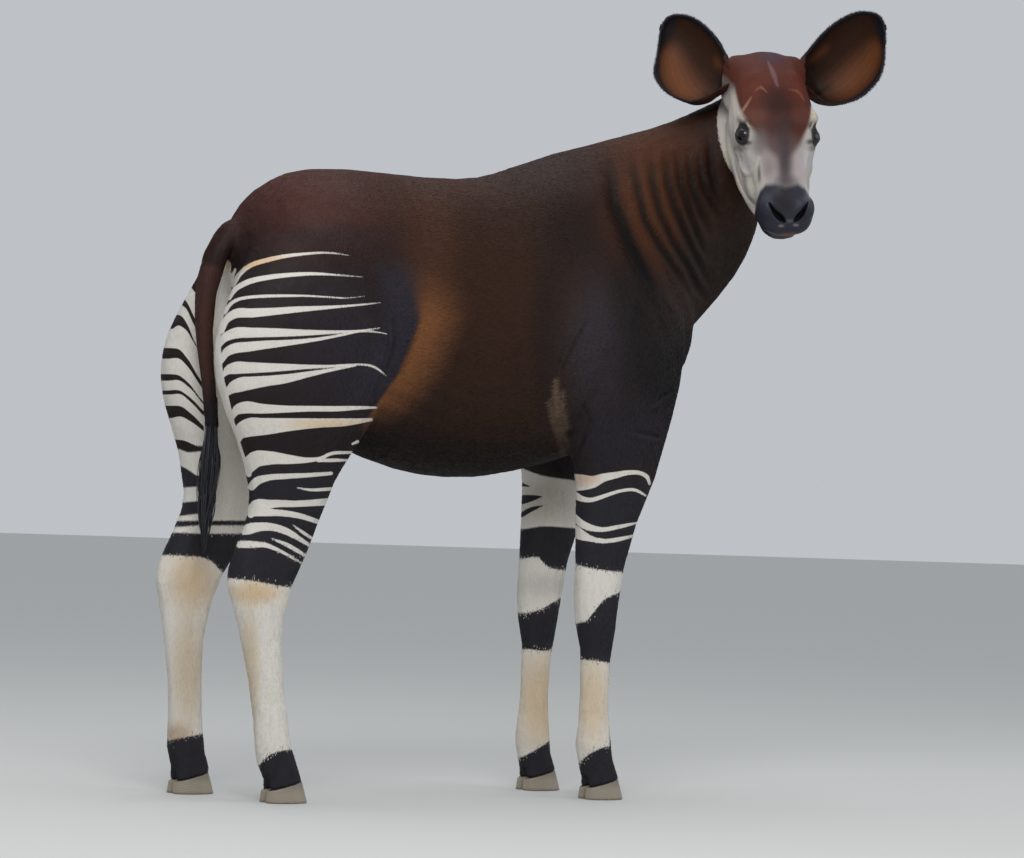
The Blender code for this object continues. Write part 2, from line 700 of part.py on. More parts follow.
def face_cutters(collection):
    """Sockets, the slits of the eyes, nostrils, the line of the mouth and the ends of the ear stumps."""
    place = head_matrix()
    for side in (1, -1):
        centre, out = on_side(EYE_CENTRE, side), on_side(EYE_OUT, side)
        radius = EYE_RADIUS + GAP
        socket = ball("cut_socket", centre, (radius,) * 3, collection, segments=20, rings=12)
        socket.data.transform(place)
        along = Vector((1.0, 0.0, -0.18))
        along = (along - out * along.dot(out)).normalized()
        across = out.cross(along)
        rings = []
        for depth, grow in ((0.010, 0.75), (0.022, 1.0), (0.050, 1.35)):
            ring = []
            for k in range(20):
                angle = 2 * math.pi * k / 20
                a = EYE_SLIT[0] * grow * math.cos(angle)
                b = EYE_SLIT[1] * grow * math.sin(angle) * (1 - 0.25 * abs(math.cos(angle)))
                ring.append(tuple(place @ (centre + out * depth + along * a + across * b)))
            rings.append(ring)
        rings_object("cut_lids", np.array(rings), collection)
        outward = Vector((0.45, 0.35 * side, 0.82)).normalized()
        path = ((0.408, 0.047, 0.034), (0.428, 0.041, 0.036), (0.446, 0.031, 0.028), (0.461, 0.018, 0.014))
        nostril = [
            (on_side(spot, side) + outward * 0.0025, outward * 0.0115, half)
            for spot, half in zip(path, (0.0015, 0.0034, 0.0040, 0.0018))
        ]
        tube("cut_nostril", nostril, collection, 0.006, 12).data.transform(place)
    lip = [
        Vector(p)
        for p in (
            (0.345, 0.066, -0.047),
            (0.385, 0.068, -0.043),
            (0.425, 0.064, -0.040),
            (0.455, 0.048, -0.037),
            (0.476, 0.0, -0.035),
        )
    ]
    line = lip + [on_side(p, -1) for p in reversed(lip[:-1])]
    middle = Vector((0.385, 0.0, -0.040))
    rings = []
    for p in line:
        outside = p - (middle - p).normalized() * 0.02
        deep = p + (middle - p).normalized() * 0.0065
        edge = Vector((0.0, 0.0, 0.0016))
        rings.append([tuple(place @ q) for q in (outside + edge, deep, outside - edge)])
    rings_object("cut_mouth", np.array(rings), collection)
    for name in EARS:
        root_box(name, -GAP, 0.06, 0.13, collection)


def ear(name, collection):
    """A cup whose rows are arcs, closed round a solid foot."""
    table = [(t * EAR_LENGTH, wide / 2, 0, arc, mid, half) for t, arc, wide, mid, half in EAR_ROWS]
    rings = []
    for t, reach, _, arc, middle, half in spread(table, 0.016):
        share = t / EAR_LENGTH
        foot, _, lower, facing = ear_place(name, share)
        angle = math.radians(arc) / 2
        wide = min(angle, math.pi / 2)
        radius = reach / math.sin(wide)
        lean = radius * math.cos(wide) - 0.012 * math.sin(math.pi * min(1.0, max(0.0, share)))
        centre = np.array(foot + lower * middle + facing * lean)
        turn = np.linspace(-angle, angle, 9)[:, None]
        spoke = np.sin(turn) * np.array(lower) - np.cos(turn) * np.array(facing)
        inner, outer = centre + (radius - half) * spoke, centre + (radius + half) * spoke
        rings.append(np.concatenate([inner, outer[::-1]]))
    cup = rings_object(name, np.array(rings), collection)
    foot, along, _, facing = ear_place(name, 0.0)
    plug = (
        (foot - along * 0.020, facing * 0.030, 0.030),
        (foot + along * 0.010, facing * 0.030, 0.030),
        (foot + along * 0.026 - facing * 0.008, facing * 0.014, 0.016),
    )
    combine(cup, "UNION", [tube("plug", plug, collection, 0.012, 20)])
    combine(cup, "DIFFERENCE", [root_box(name, -0.12, 0.0, 0.40, collection)])
    return cup


def eye(name, side, collection):
    radii = (EYE_RADIUS,) * 3
    made = ball(name, on_side(EYE_CENTRE, side), radii, collection, segments=20, rings=12)
    made.data.transform(head_matrix())
    return made


def claw_ring(foot_x, inner_y, outward, share):
    """One level of a hoof: share 0 is the sole and 1 the hair line. The side by the cleft is flat."""
    length = CLAW_SOLE[0] + (CLAW_TOP[0] - CLAW_SOLE[0]) * share
    width = CLAW_SOLE[1] + (CLAW_TOP[1] - CLAW_SOLE[1]) * share
    ring = []
    for k in range(20):
        angle = 2 * math.pi * k / 20
        cos, sin = math.cos(angle), math.sin(angle)
        x = foot_x + 0.003 + length * math.copysign(abs(cos) ** 0.85, cos) - 0.006 * share
        taper = 1 - 0.30 * max(0.0, cos) ** 2
        bulge = (1.4 if sin > 0 else 0.55) * math.copysign(abs(sin) ** 0.8, sin) * taper
        z = share * (hair_line_height(x, foot_x) - GAP)
        ring.append((x, inner_y + outward * width * (0.6 + bulge), z))
    return ring


def hooves(collection):
    for name, _, side, most, _ in limbs():
        foot_x, foot_y = foot_place(name, side, most)
        for place, outward in (("inner", side), ("outer", -side)):
            inner_y = foot_y + outward * GAP
            rings = [claw_ring(foot_x, inner_y, outward, share) for share in (0.0, 0.12, 0.55, 1.0)]
            rings_object(f"hoof_{name}_{place}", np.array(rings), collection)


def loose_parts(mesh):
    """Arrays of point numbers, one for each connected surface."""
    edges = edges_of(mesh)
    label = np.arange(len(mesh.vertices))
    while True:
        low = np.minimum(label[edges[:, 0]], label[edges[:, 1]])
        lower = label.copy()
        np.minimum.at(lower, edges[:, 0], low)
        np.minimum.at(lower, edges[:, 1], low)
        lower = lower[lower]
        if (lower == label).all():
            return [np.flatnonzero(label == value) for value in np.unique(label)]
        label = lower


def keep_points(mesh, kept):
    shape = bmesh.new()
    shape.from_mesh(mesh)
    keep = set(kept.tolist())
    bmesh.ops.delete(shape, geom=[v for v in shape.verts if v.index not in keep], context="VERTS")
    shape.to_mesh(mesh)
    shape.free()


def part_flesh(flesh, collection):
    """One object for each seed: the loose part that comes nearest to it."""
    parts = [part for part in loose_parts(flesh.data) if len(part) > 20]
    points = points_of(flesh.data)
    seeds = dict(SEEDS)
    seeds["head"] = tuple(head_matrix() @ Vector((0.15, 0.10, 0.0)))
    for name, seed in seeds.items():
        nearest = min(parts, key=lambda part: np.linalg.norm(points[part] - seed, axis=1).min())
        piece = bpy.data.objects.new(name, flesh.data.copy())
        piece.data.name = name
        collection.objects.link(piece)
        keep_points(piece.data, nearest)
    bpy.data.objects.remove(flesh)


def tail_at(height):
    """The middle of the tail at a height, and its half thickness there."""
    rows = np.array([(z, x, half) for (x, _, z), half in reversed(TAIL)])
    return np.interp(height, rows[:, 0], rows[:, 1]), np.interp(height, rows[:, 0], rows[:, 2])


def lock(number, chance, collection):
    """A flat lock of hair that leaves the core inside, lies along it and tapers to a bent tip."""
    share = (number + 0.5) / LOCKS
    top = LOCK_ROOTS[0] + (LOCK_ROOTS[1] - LOCK_ROOTS[0]) * share**1.3
    end = LOCK_TIPS[0] + (LOCK_TIPS[1] - LOCK_TIPS[0]) * chance.random()
    angle = 2.4 * number + chance.uniform(-0.3, 0.3)
    swing = chance.uniform(-0.5, 0.5)
    reach = chance.uniform(0.0015, 0.0055)
    drift = np.array([chance.uniform(0.000, 0.010), chance.uniform(-0.006, 0.006), 0.0])
    rings = []
    for t in (0.0, 0.25, 0.52, 0.78, 1.0):
        height = top + (end - top) * t
        middle, half = tail_at(height)
        turn = angle + swing * t
        out = np.array([math.cos(turn), math.sin(turn), 0.0])
        flat = np.array([-math.sin(turn), math.cos(turn), 0.0])
        away = half * (0.72 + 0.30 * ramp(0.0, 0.3, t)) + reach * math.sin(math.pi * min(1.0, t * 1.1))
        centre = np.array([middle, 0.0, height]) + out * away + drift * t * t
        wide = LOCK_HALF[0] * (0.80 + 0.55 * t - 1.25 * t * t)
        thick = LOCK_HALF[1] * (1.0 - 0.68 * t)
        section = ((1, 0), (0.55, 1), (-0.55, 1), (-1, 0), (-0.55, -1), (0.55, -1))
        rings.append([centre + flat * wide * a + out * thick * b for a, b in section])
    return rings_object("lock", np.array(rings), collection)


def grow_tuft(tuft, collection):
    """Unites the core of the tuft with its locks and keeps the largest surface."""
    chance = np.random.default_rng(7)
    combine(tuft, "UNION", [lock(number, chance, collection) for number in range(LOCKS)])
    keep_points(tuft.data, max(loose_parts(tuft.data), key=len))


def settle(collection):
    """Moves everything so that the middle of the whole box, on the floor, is the origin."""
    every = np.concatenate([points_of(thing.data) for thing in collection.objects])
    low, high = every.min(axis=0), every.max(axis=0)
    shift = Vector((-(low[0] + high[0]) / 2, -(low[1] + high[1]) / 2, -low[2]))
    for thing in collection.objects:
        thing.data.transform(Matrix.Translation(shift))
    return shift


def dress(collection):
    for thing in collection.objects:
        kind = thing.name if thing.name in COLOURS else thing.name.split("_")[0]
        material = bpy.data.materials.new(thing.name)
        material.use_nodes = True
        surface = material.node_tree.nodes["Principled BSDF"]
        surface.inputs["Base Color"].default_value = (*COLOURS[kind], 1.0)
        surface.inputs["Roughness"].default_value = ROUGHNESS.get(kind, 0.6)
        thing.data.materials.clear()
        thing.data.materials.append(material)


def main():
    clear_scene()
    okapi = new_collection("okapi")
    forms = new_collection("forms")
    body_forms(forms)
    head_forms(forms)
    flesh = fuse("flesh", list(forms.objects), okapi, VOXEL)
    soften(flesh.data, 40, flesh_strength)
    shape_lids(flesh.data)
    thin(flesh, FLESH_TRIANGLES)
    face_cutters(forms)
    combine(flesh, "DIFFERENCE", list(forms.objects))
    body_cutters(forms)
    combine(flesh, "DIFFERENCE", list(forms.objects))
    part_flesh(flesh, okapi)
    grow_tuft(okapi.objects["tail_tuft"], forms)
    for name in EARS:
        ear(name, okapi)
    eye("eye_left", 1, okapi)
    eye("eye_right", -1, okapi)
    hooves(okapi)
    for thing in okapi.objects:
        tidy(thing.data)
    moved = settle(okapi)
    dress(okapi)
    return moved


MOVED = main()
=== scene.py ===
"""Looks of a standing okapi, life size, its head turned back over its right shoulder.

One smooth skin takes the place of the solids of flesh and carries the markings. Short flat tufts of hair
lie over it. Ears, eyes, hooves and the hair of the tail are pieces of their own. Places are worked out
in the body's frame: +X to the chest, +Y to the left side, +Z up, in metres.
"""

import math

import bmesh
import bpy
import numpy as np
from mathutils import Matrix, Vector
from mathutils.bvhtree import BVHTree


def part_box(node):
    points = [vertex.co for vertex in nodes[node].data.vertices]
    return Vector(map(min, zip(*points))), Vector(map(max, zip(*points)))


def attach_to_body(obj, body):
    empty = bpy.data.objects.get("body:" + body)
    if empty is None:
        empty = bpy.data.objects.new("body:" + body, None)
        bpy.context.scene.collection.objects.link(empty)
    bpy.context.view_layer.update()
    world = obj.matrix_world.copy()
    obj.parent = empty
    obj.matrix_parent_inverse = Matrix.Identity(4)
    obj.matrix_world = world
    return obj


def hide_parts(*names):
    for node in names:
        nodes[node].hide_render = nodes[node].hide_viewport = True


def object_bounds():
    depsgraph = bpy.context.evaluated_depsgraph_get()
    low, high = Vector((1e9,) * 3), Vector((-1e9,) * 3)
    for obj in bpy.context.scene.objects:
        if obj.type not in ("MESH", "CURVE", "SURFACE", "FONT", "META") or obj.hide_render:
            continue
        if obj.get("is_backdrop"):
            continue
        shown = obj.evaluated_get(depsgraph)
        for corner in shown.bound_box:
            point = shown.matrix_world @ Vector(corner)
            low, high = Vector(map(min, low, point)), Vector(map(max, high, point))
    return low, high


FLESH = (
    "torso",
    "neck",
    "head",
    "leg_fore_left",
    "leg_fore_right",
    "leg_hind_left",
    "leg_hind_right",
    "tail",
)
VOXEL = 0.0055
PUSH = 0.0005
COAT_DEPTH = 0.0024
FACE_DEPTH = 0.0014

# The head's own frame: x from the poll to the lips, y to its left, z up out of the face.
HEAD_ORIGIN = Vector((0.5722, -0.146, 1.749))
HEAD_HEADING = math.radians(-110.8)
HEAD_PITCH = math.radians(57.0)
HEAD_TILT = math.radians(2.4)
EYE_CENTRE = Vector((0.232, 0.078, 0.042))
EYE_OUT = Vector((0.12, 0.66, 0.74)).normalized()
EYE_RADIUS = 0.0235
EYE_SLIT = (0.0196, 0.0160)

# Flesh that rounds off the poll and the roots of the ears: centre and radii, for the left side.
HEAD_FILL = (
    ((0.014, 0.064, 0.032), (0.038, 0.040, 0.027)),
    ((0.056, 0.078, -0.022), (0.045, 0.026, 0.030)),
    ((0.032, 0.076, 0.008), (0.040, 0.028, 0.038)),
)

EARS = {
    "ear_right": ((-0.165, -0.234, -0.042), (-0.250, -0.966, -0.040), (0.53, -0.20, 0.83)),
    "ear_left": ((-0.050, 0.304, 0.106), (0.110, 0.953, 0.277), (0.53, -0.08, 0.83)),
}
EAR_LENGTH = 0.240
EAR_BARE = 0.955
EAR_ROOT = (0.030, 0.086, 0.012)
EAR_ROOT_OUT = (-0.20, 0.98, 0.0)
# Ear rows: share of the length, arc of the cup in degrees, width, how far the middle sits towards
# the lower edge, half thickness.
EAR_ROWS = (
    (-0.06, 300, 0.058, 0.000, 0.0040),
    (0.00, 300, 0.060, 0.000, 0.0040),
    (0.05, 270, 0.080, 0.003, 0.0032),
    (0.12, 222, 0.117, 0.011, 0.0026),
    (0.23, 178, 0.156, 0.018, 0.0020),
    (0.38, 148, 0.184, 0.021, 0.0016),
    (0.54, 132, 0.191, 0.018, 0.0014),
    (0.69, 122, 0.180, 0.013, 0.0013),
    (0.82, 114, 0.153, 0.006, 0.0012),
    (0.91, 108, 0.117, 0.001, 0.0011),
    (0.965, 103, 0.078, -0.004, 0.0010),
    (0.992, 98, 0.040, -0.006, 0.0008),
    (1.00, 96, 0.012, -0.008, 0.0006),
)

# How far the left legs stand behind the right ones, at the hoof and at the height they swing from.
FORE_LEFT_BACK = 0.030
HIND_LEFT_BACK = 0.118
FORE_SWING_TOP = 0.95
HIND_SWING_TOP = 1.10

# The camera: where it stands, how many picture points a metre fills at one metre, and its roll.
CAMERA = Vector((-4.0, -6.928, 0.68))
CAMERA_SPAN = 3390.0
CAMERA_LEVEL = 506.0
CAMERA_ROLL = math.radians(2.2)
PICTURE = (1024, 858)
RIGHT = Vector((0.8660, -0.5, 0.0))
INTO = Vector((0.5, 0.8660, 0.0))

# Parts of the picture in which markings are placed: left and top corner, and enlargement.
HAUNCH = (150, 200, 5.357)
HIND = (150, 450, 4.110)
FORE = (490, 440, 4.000)
NECK = (560, 100, 3.947)
FACE = (720, 40, 7.143)

# White stripes of the right haunch: points along the middle with half the width, from the rear.
HAUNCH_STRIPES = (
    ((425, 450, 16), (480, 385, 13), (545, 345, 12), (620, 322, 12), (720, 300, 10), (830, 287, 7),
     (940, 281, 5), (1020, 288, 3), (1080, 299, 1)),
    ((400, 520, 16), (440, 478, 14), (500, 446, 15), (560, 427, 14), (640, 412, 13), (760, 399, 11),
     (880, 394, 8), (980, 399, 5), (1080, 406, 3), (1140, 411, 1)),
    ((375, 600, 12), (410, 556, 10), (450, 535, 9), (520, 521, 8), (600, 515, 8), (720, 512, 7),
     (850, 513, 5), (950, 519, 4), (1050, 524, 3), (1150, 514, 1)),
    ((355, 700, 16), (385, 640, 20), (430, 612, 24), (550, 604, 24), (650, 597, 20), (780, 586, 16),
     (900, 578, 11), (1050, 567, 6), (1170, 556, 4), (1235, 549, 1)),
    ((340, 780, 12), (370, 740, 22), (420, 718, 28), (560, 710, 26), (700, 710, 22), (850, 710, 15),
     (1000, 706, 8), (1120, 700, 5), (1230, 685, 2)),
    ((355, 860, 14), (385, 815, 24), (430, 796, 27), (520, 786, 26), (600, 777, 23), (750, 763, 15),
     (900, 745, 9), (1030, 722, 6), (1130, 703, 5), (1200, 705, 4), (1268, 717, 2)),
    ((365, 940, 10), (395, 910, 24), (440, 900, 32), (520, 898, 30), (600, 898, 26), (720, 896, 19),
     (850, 893, 11), (960, 890, 7), (1060, 884, 6), (1130, 881, 5), (1190, 890, 6), (1235, 916, 5),
     (1264, 942, 2)),
    ((390, 1040, 12), (415, 1010, 28), (470, 990, 38), (540, 980, 34), (620, 970, 28), (720, 958, 24),
     (850, 933, 15), (980, 908, 8), (1100, 886, 5)),
    ((420, 1170, 12), (450, 1125, 26), (500, 1112, 32), (600, 1118, 26), (700, 1120, 20),
     (850, 1118, 15), (1000, 1118, 14), (1130, 1113, 9), (1212, 1112, 5)),
    ((455, 1290, 18), (475, 1240, 40), (530, 1218, 50), (600, 1214, 46), (750, 1203, 34),
     (900, 1195, 25), (1050, 1190, 20), (1120, 1184, 14), (1185, 1176, 8)),
    ((520, 1430, 40), (560, 1392, 44), (640, 1382, 36), (750, 1390, 24), (850, 1393, 13),
     (920, 1382, 9), (960, 1362, 9), (1080, 1352, 7)),
    ((900, 1396, 8), (1000, 1394, 9), (1062, 1394, 5)),
    ((1085, 1306, 6), (1112, 1294, 8)),
    ((440, 372, 8), (400, 450, 14), (370, 540, 16), (348, 640, 14), (338, 740, 12), (344, 850, 10),
     (358, 950, 10), (385, 1050, 12), (420, 1180, 14), (455, 1290, 16), (500, 1400, 14), (530, 1470, 14)),
)
# White stripes of the right hind leg above the hock.
HIND_STRIPES = (
    ((418, 150, 16), (440, 128, 17), (480, 115, 13), (560, 108, 11), (640, 104, 9), (745, 96, 7)),
    ((605, 155, 2), (650, 163, 5), (745, 160, 7)),
    ((415, 265, 14), (430, 238, 26), (500, 222, 17), (600, 221, 13), (745, 212, 15)),
    ((412, 262, 10), (470, 258, 14), (540, 259, 13), (620, 272, 11), (705, 300, 9)),
    ((385, 340, 8), (400, 328, 20), (450, 316, 18), (510, 318, 15), (560, 334, 14), (610, 362, 10),
     (662, 396, 6)),
    ((588, 308, 2), (625, 336, 6), (682, 372, 5)),
    ((370, 388, 14), (420, 388, 14), (470, 390, 10), (530, 412, 7), (590, 445, 5), (635, 470, 3)),
    ((500, 364, 2), (560, 388, 8), (610, 416, 8), (655, 444, 4)),
)
# White bands of the left haunch, whose rear edge shows beside the tail.
HAUNCH_LEFT_BANDS = (
    (((238, 345), (262, 335), (280, 330)), ((238, 402), (262, 385), (280, 360))),
    (((165, 508), (188, 480), (210, 458), (228, 480), (300, 560)),
     ((165, 512), (195, 545), (228, 612), (300, 760))),
    (((135, 575), (160, 558), (185, 575), (225, 650), (300, 800)),
     ((135, 612), (165, 620), (195, 660), (228, 735), (300, 870))),
    (((120, 690), (150, 672), (185, 690), (228, 755), (300, 890)),
     ((100, 792), (150, 798), (200, 850), (245, 925), (300, 1010))),
    (((100, 850), (150, 848), (200, 892), (250, 965), (300, 1040)),
     ((100, 932), (150, 938), (200, 975), (270, 1062), (300, 1098))),
    (((100, 968), (150, 965), (210, 1005), (275, 1082), (300, 1112)),
     ((100, 1020), (150, 1018), (210, 1055), (285, 1130))),
    (((105, 1042), (160, 1040), (220, 1085), (290, 1160)),
     ((110, 1102), (160, 1104), (220, 1145), (290, 1215))),
    (((115, 1168), (160, 1160), (220, 1188), (290, 1240)), ((125, 1282), (180, 1288), (260, 1325))),
)
HIND_RIGHT_BELOW = ((325, 528), (400, 534), (480, 548), (560, 562), (610, 560))
HIND_RIGHT_PASTERN = ((450, 1292), (480, 1262), (520, 1240), (600, 1226))
# White bands of the left hind leg, each between an upper and a lower line.
HIND_LEFT_BANDS = (
    (((115, -6), (160, 10), (200, 6)), ((118, 60), (155, 80), (190, 104))),
    (((138, 155), (200, 150)), ((138, 215), (195, 210))),
    (((136, 270), (200, 262)), ((136, 291), (195, 290))),
    (((126, 316), (200, 310)), ((120, 340), (205, 344))),
    (((90, 432), (150, 436), (215, 442), (240, 450), (300, 505)),
     ((75, 1192), (140, 1180), (215, 1166))),
)
# White stripes of the right foreleg, then its larger pale zones, then those of the left foreleg.
FORE_STRIPES = (
    ((340, 170, 34), (370, 170, 31), (410, 168, 24), (450, 152, 17), (500, 141, 13), (560, 130, 9),
     (600, 132, 8), (628, 147, 8), (638, 175, 5)),
    ((340, 222, 15), (370, 236, 11), (400, 240, 9), (440, 230, 8), (480, 216, 7), (530, 202, 6),
     (580, 200, 6), (622, 222, 4)),
    ((338, 305, 10), (360, 330, 14), (400, 350, 13), (450, 358, 9), (510, 348, 8), (585, 332, 4)),
    ((338, 365, 24), (365, 380, 20), (400, 394, 12), (450, 404, 9), (520, 396, 8), (576, 382, 4)),
)
FORE_RIGHT_ZONES = (
    (((340, 498), (420, 516), (480, 524), (540, 530)),
     ((340, 736), (385, 722), (420, 680), (455, 640), (520, 608))),
    (((350, 876), (420, 882), (475, 890)), ((350, 1296), (400, 1252), (440, 1232), (490, 1220))),
)
FORE_RIGHT_FRONT = ((486, 900, 9), (488, 1060, 8), (486, 1225, 9))
FORE_LEFT_ZONES = (
    (((125, 112), (200, 140), (335, 162)), ((135, 356), (200, 346), (335, 352))),
    (((140, 474), (190, 468), (225, 502), (290, 520), (335, 515)),
     ((140, 692), (190, 682), (250, 650), (335, 598))),
    (((155, 836), (220, 842), (275, 826)), ((112, 1272), (160, 1250), (250, 1194))),
)
# How far the broad bands of the legs blend into the dark, against the crisp edges of the stripes.
SOFT_EDGE = 0.4
FORE_LEFT_SPURS = (
    ((120, 176, 9), (158, 186, 2)),
    ((120, 240, 20), (170, 232, 12), (208, 226, 2)),
    ((125, 300, 10), (165, 278, 9), (212, 262, 2)),
)

# Grooves between the folds of the neck, sunk into the skin and darkened with painted shade: points with half the
# width, from the nape down.
NECK_GROOVES = (
    ((190, 190, 0), (215, 400, 20), (270, 550, 22), (340, 690, 20), (385, 770, 0)),
    ((280, 190, 0), (310, 350, 9), (340, 470, 11), (400, 580, 12), (470, 690, 13), (520, 790, 0)),
    ((355, 180, 0), (370, 330, 8), (400, 450, 10), (450, 560, 11), (510, 660, 12), (545, 740, 10),
     (580, 800, 0)),
    ((412, 170, 0), (430, 330, 8), (460, 430, 10), (500, 530, 10), (550, 640, 9), (600, 750, 0)),
    ((458, 170, 0), (480, 330, 8), (510, 430, 9), (545, 530, 8), (590, 640, 0)),
    ((505, 180, 0), (525, 340, 7), (560, 440, 7), (600, 540, 0)),
    ((550, 180, 0), (570, 330, 6), (600, 400, 6), (640, 480, 0)),
    ((590, 90, 0), (600, 260, 6), (620, 360, 6), (648, 440, 0)),
)
# Painted shade filling the broad dip between shoulder and neck.
NECK_HOLLOW_SHADE = ((185, 260, 3), (215, 400, 10), (270, 550, 12), (330, 690, 12), (400, 820, 10), (440, 930, 5))
# Thin folds of the skin elsewhere, sunk into it and darkened with painted shade: view, and points with half the width.
SKIN_FOLDS = (
    (HAUNCH, ((1445, 660, 3), (1420, 740, 5), (1385, 830, 4), (1345, 930, 3))),
    (HAUNCH, ((1300, 640, 6), (1310, 760, 9), (1270, 900, 10), (1200, 1060, 6))),
    (HAUNCH, ((520, 180, 5), (515, 260, 8), (480, 350, 4))),
    (NECK, ((95, 1210, 8), (120, 1260, 5), (90, 1340, 9), (60, 1410, 4))),
    (NECK, ((375, 1200, 3), (420, 1165, 8), (440, 1150, 3))),
    (NECK, ((300, 1310, 2), (350, 1318, 5), (390, 1330, 3))),
    (NECK, ((10, 1060, 5), (60, 960, 7), (100, 880, 4))),
)

# Colours as they look in plain light, 0 to 255, but for the painted light noted below: place in the picture, reach
# across and down, colour, share.
BODY_COLOUR = (44, 26, 18)
BODY_SPOTS = (
    (300, 190, 95, 55, (76, 44, 39), 1.0),
    (420, 185, 84, 34, (64, 40, 32), 0.9),
    (570, 172, 80, 30, (56, 42, 38), 0.85),
    (495, 290, 84, 80, (50, 28, 16), 0.9),
    (430, 240, 30, 40, (74, 44, 28), 0.6),
    (470, 400, 60, 40, (48, 29, 18), 0.7),
    (440, 466, 150, 26, (28, 19, 14), 0.9),
    (548, 330, 18, 90, (32, 21, 17), 0.7),
    (585, 235, 44, 40, (34, 23, 19), 0.85),
    # Painted purple-grey sheen on the shoulder.
    (604, 350, 38, 74, (50, 43, 49), 0.95),
    (650, 142, 60, 24, (70, 40, 27), 0.9),
    (655, 205, 34, 50, (56, 36, 26), 0.8),
    # Painted shade at the base of the neck, in the dip by the shoulder.
    (634, 280, 26, 66, (16, 12, 10), 0.9),
    (668, 375, 52, 70, (20, 18, 20), 0.95),
    (715, 255, 40, 44, (32, 25, 21), 0.85),
    (690, 300, 22, 30, (46, 32, 26), 0.6),
    (622, 440, 56, 46, (37, 34, 40), 1.0),
    (336, 350, 74, 90, (41, 37, 43), 1.0),
    (250, 340, 50, 110, (40, 34, 36), 1.0),
    (310, 440, 90, 40, (36, 29, 31), 0.9),
    (330, 236, 70, 12, (48, 32, 32), 0.8),
)
# The front of the haunch, where its dark meets the orange flank across a crease.
HAUNCH_FRONT = ((398, 240), (412, 262), (419, 293), (421, 318), (411, 346), (399, 374), (380, 400), (362, 426))
FLANK_COLOUR = (120, 76, 46)
# Painted bluish sheen on the front edge of the thigh, just behind the crease.
THIGH_FRONT_SHEEN = (46, 44, 53)
# Thin pale streaks behind the elbow, each with half its width in picture points.
PALE_STREAKS = (
    ((557, 380, 0.6), (557, 400, 2.2), (561, 422, 1.8), (568, 446, 0.6)),
    ((550, 402, 0.4), (556, 424, 1.6), (564, 452, 0.6)),
    ((563, 392, 0.4), (564, 410, 1.2), (568, 428, 0.4)),
)
LEG_DARK = (42, 40, 45)
TAIL_COLOUR = (68, 45, 40)
PALE_COLOUR = (226, 221, 212)
PALE_SPOTS = (
    (260, 262, 40, 8, (226, 190, 146), 0.9),
    (330, 424, 46, 6, (220, 188, 150), 0.7),
    (255, 592, 26, 12, (214, 186, 146), 0.9),
    (250, 670, 10, 70, (204, 184, 152), 0.7),
    (192, 580, 24, 30, (208, 180, 142), 0.8),
    (188, 670, 16, 60, (196, 176, 146), 0.75),
    (178, 735, 16, 14, (170, 140, 108), 0.7),
    (592, 700, 16, 46, (218, 196, 164), 0.85),
    (540, 700, 24, 50, (210, 186, 150), 0.85),
    (586, 478, 14, 8, (196, 160, 132), 0.7),
    (545, 500, 26, 24, (186, 178, 164), 0.6),
    (545, 585, 30, 12, (188, 184, 178), 0.6),
)
FACE_COLOUR = (194, 187, 180)
# The forehead's red-brown reaches down to this line.
FOREHEAD_LINE = ((0, 250), (60, 300), (110, 350), (140, 470), (170, 540), (205, 590), (250, 650), (310, 730),
                 (380, 810), (455, 870), (520, 810), (580, 730), (625, 640), (652, 530), (662, 400), (700, 330))
FOREHEAD_COLOUR = (82, 39, 29)
FACE_SPOTS = (
    (240, 320, 120, 120, (96, 45, 31), 0.8),
    (570, 320, 100, 120, (94, 44, 31), 0.8),
    (424, 440, 120, 110, (42, 23, 18), 0.8),
    (270, 540, 80, 60, (104, 66, 54), 0.6),
    (590, 540, 80, 70, (96, 58, 50), 0.6),
    (450, 610, 110, 90, (62, 42, 40), 0.8),
    (380, 100, 110, 66, (66, 46, 59), 0.8),
    (330, 380, 50, 60, (66, 30, 28), 0.6),
    (500, 380, 40, 60, (84, 38, 32), 0.4),
    (20, 330, 80, 70, (66, 38, 32), 0.7),
    (760, 330, 80, 70, (66, 38, 32), 0.7),
    (90, 490, 34, 120, (222, 209, 196), 0.7),
    (690, 520, 30, 120, (196, 184, 162), 0.7),
    (450, 740, 150, 80, (92, 74, 72), 0.85),
    (452, 720, 46, 130, (66, 50, 52), 0.7),
    (460, 880, 120, 120, (112, 98, 98), 0.8),
    (468, 880, 44, 190, (62, 54, 57), 0.85),
    (480, 1010, 110, 60, (82, 70, 76), 0.8),
    (200, 600, 26, 36, (52, 40, 40), 0.85),
    (655, 606, 24, 34, (52, 40, 40), 0.85),
    (200, 730, 34, 18, (40, 34, 36), 0.85),
    (652, 724, 32, 20, (40, 34, 36), 0.85),
    (292, 730, 62, 105, (110, 101, 99), 0.8),
    (188, 872, 50, 40, (190, 186, 192), 0.6),
    (620, 850, 50, 80, (198, 192, 198), 0.6),
    (345, 900, 46, 110, (136, 122, 124), 0.75),
    (575, 900, 40, 110, (176, 163, 167), 0.75),
    (56, 860, 26, 160, (214, 208, 186), 0.9),
    (120, 1090, 40, 110, (212, 204, 182), 0.8),
    (240, 1050, 56, 50, (200, 196, 178), 0.7),
    (284, 950, 12, 70, (84, 66, 62), 0.7),
    (160, 770, 54, 26, (84, 72, 70), 0.6),
    (676, 770, 44, 26, (84, 72, 70), 0.6),
)
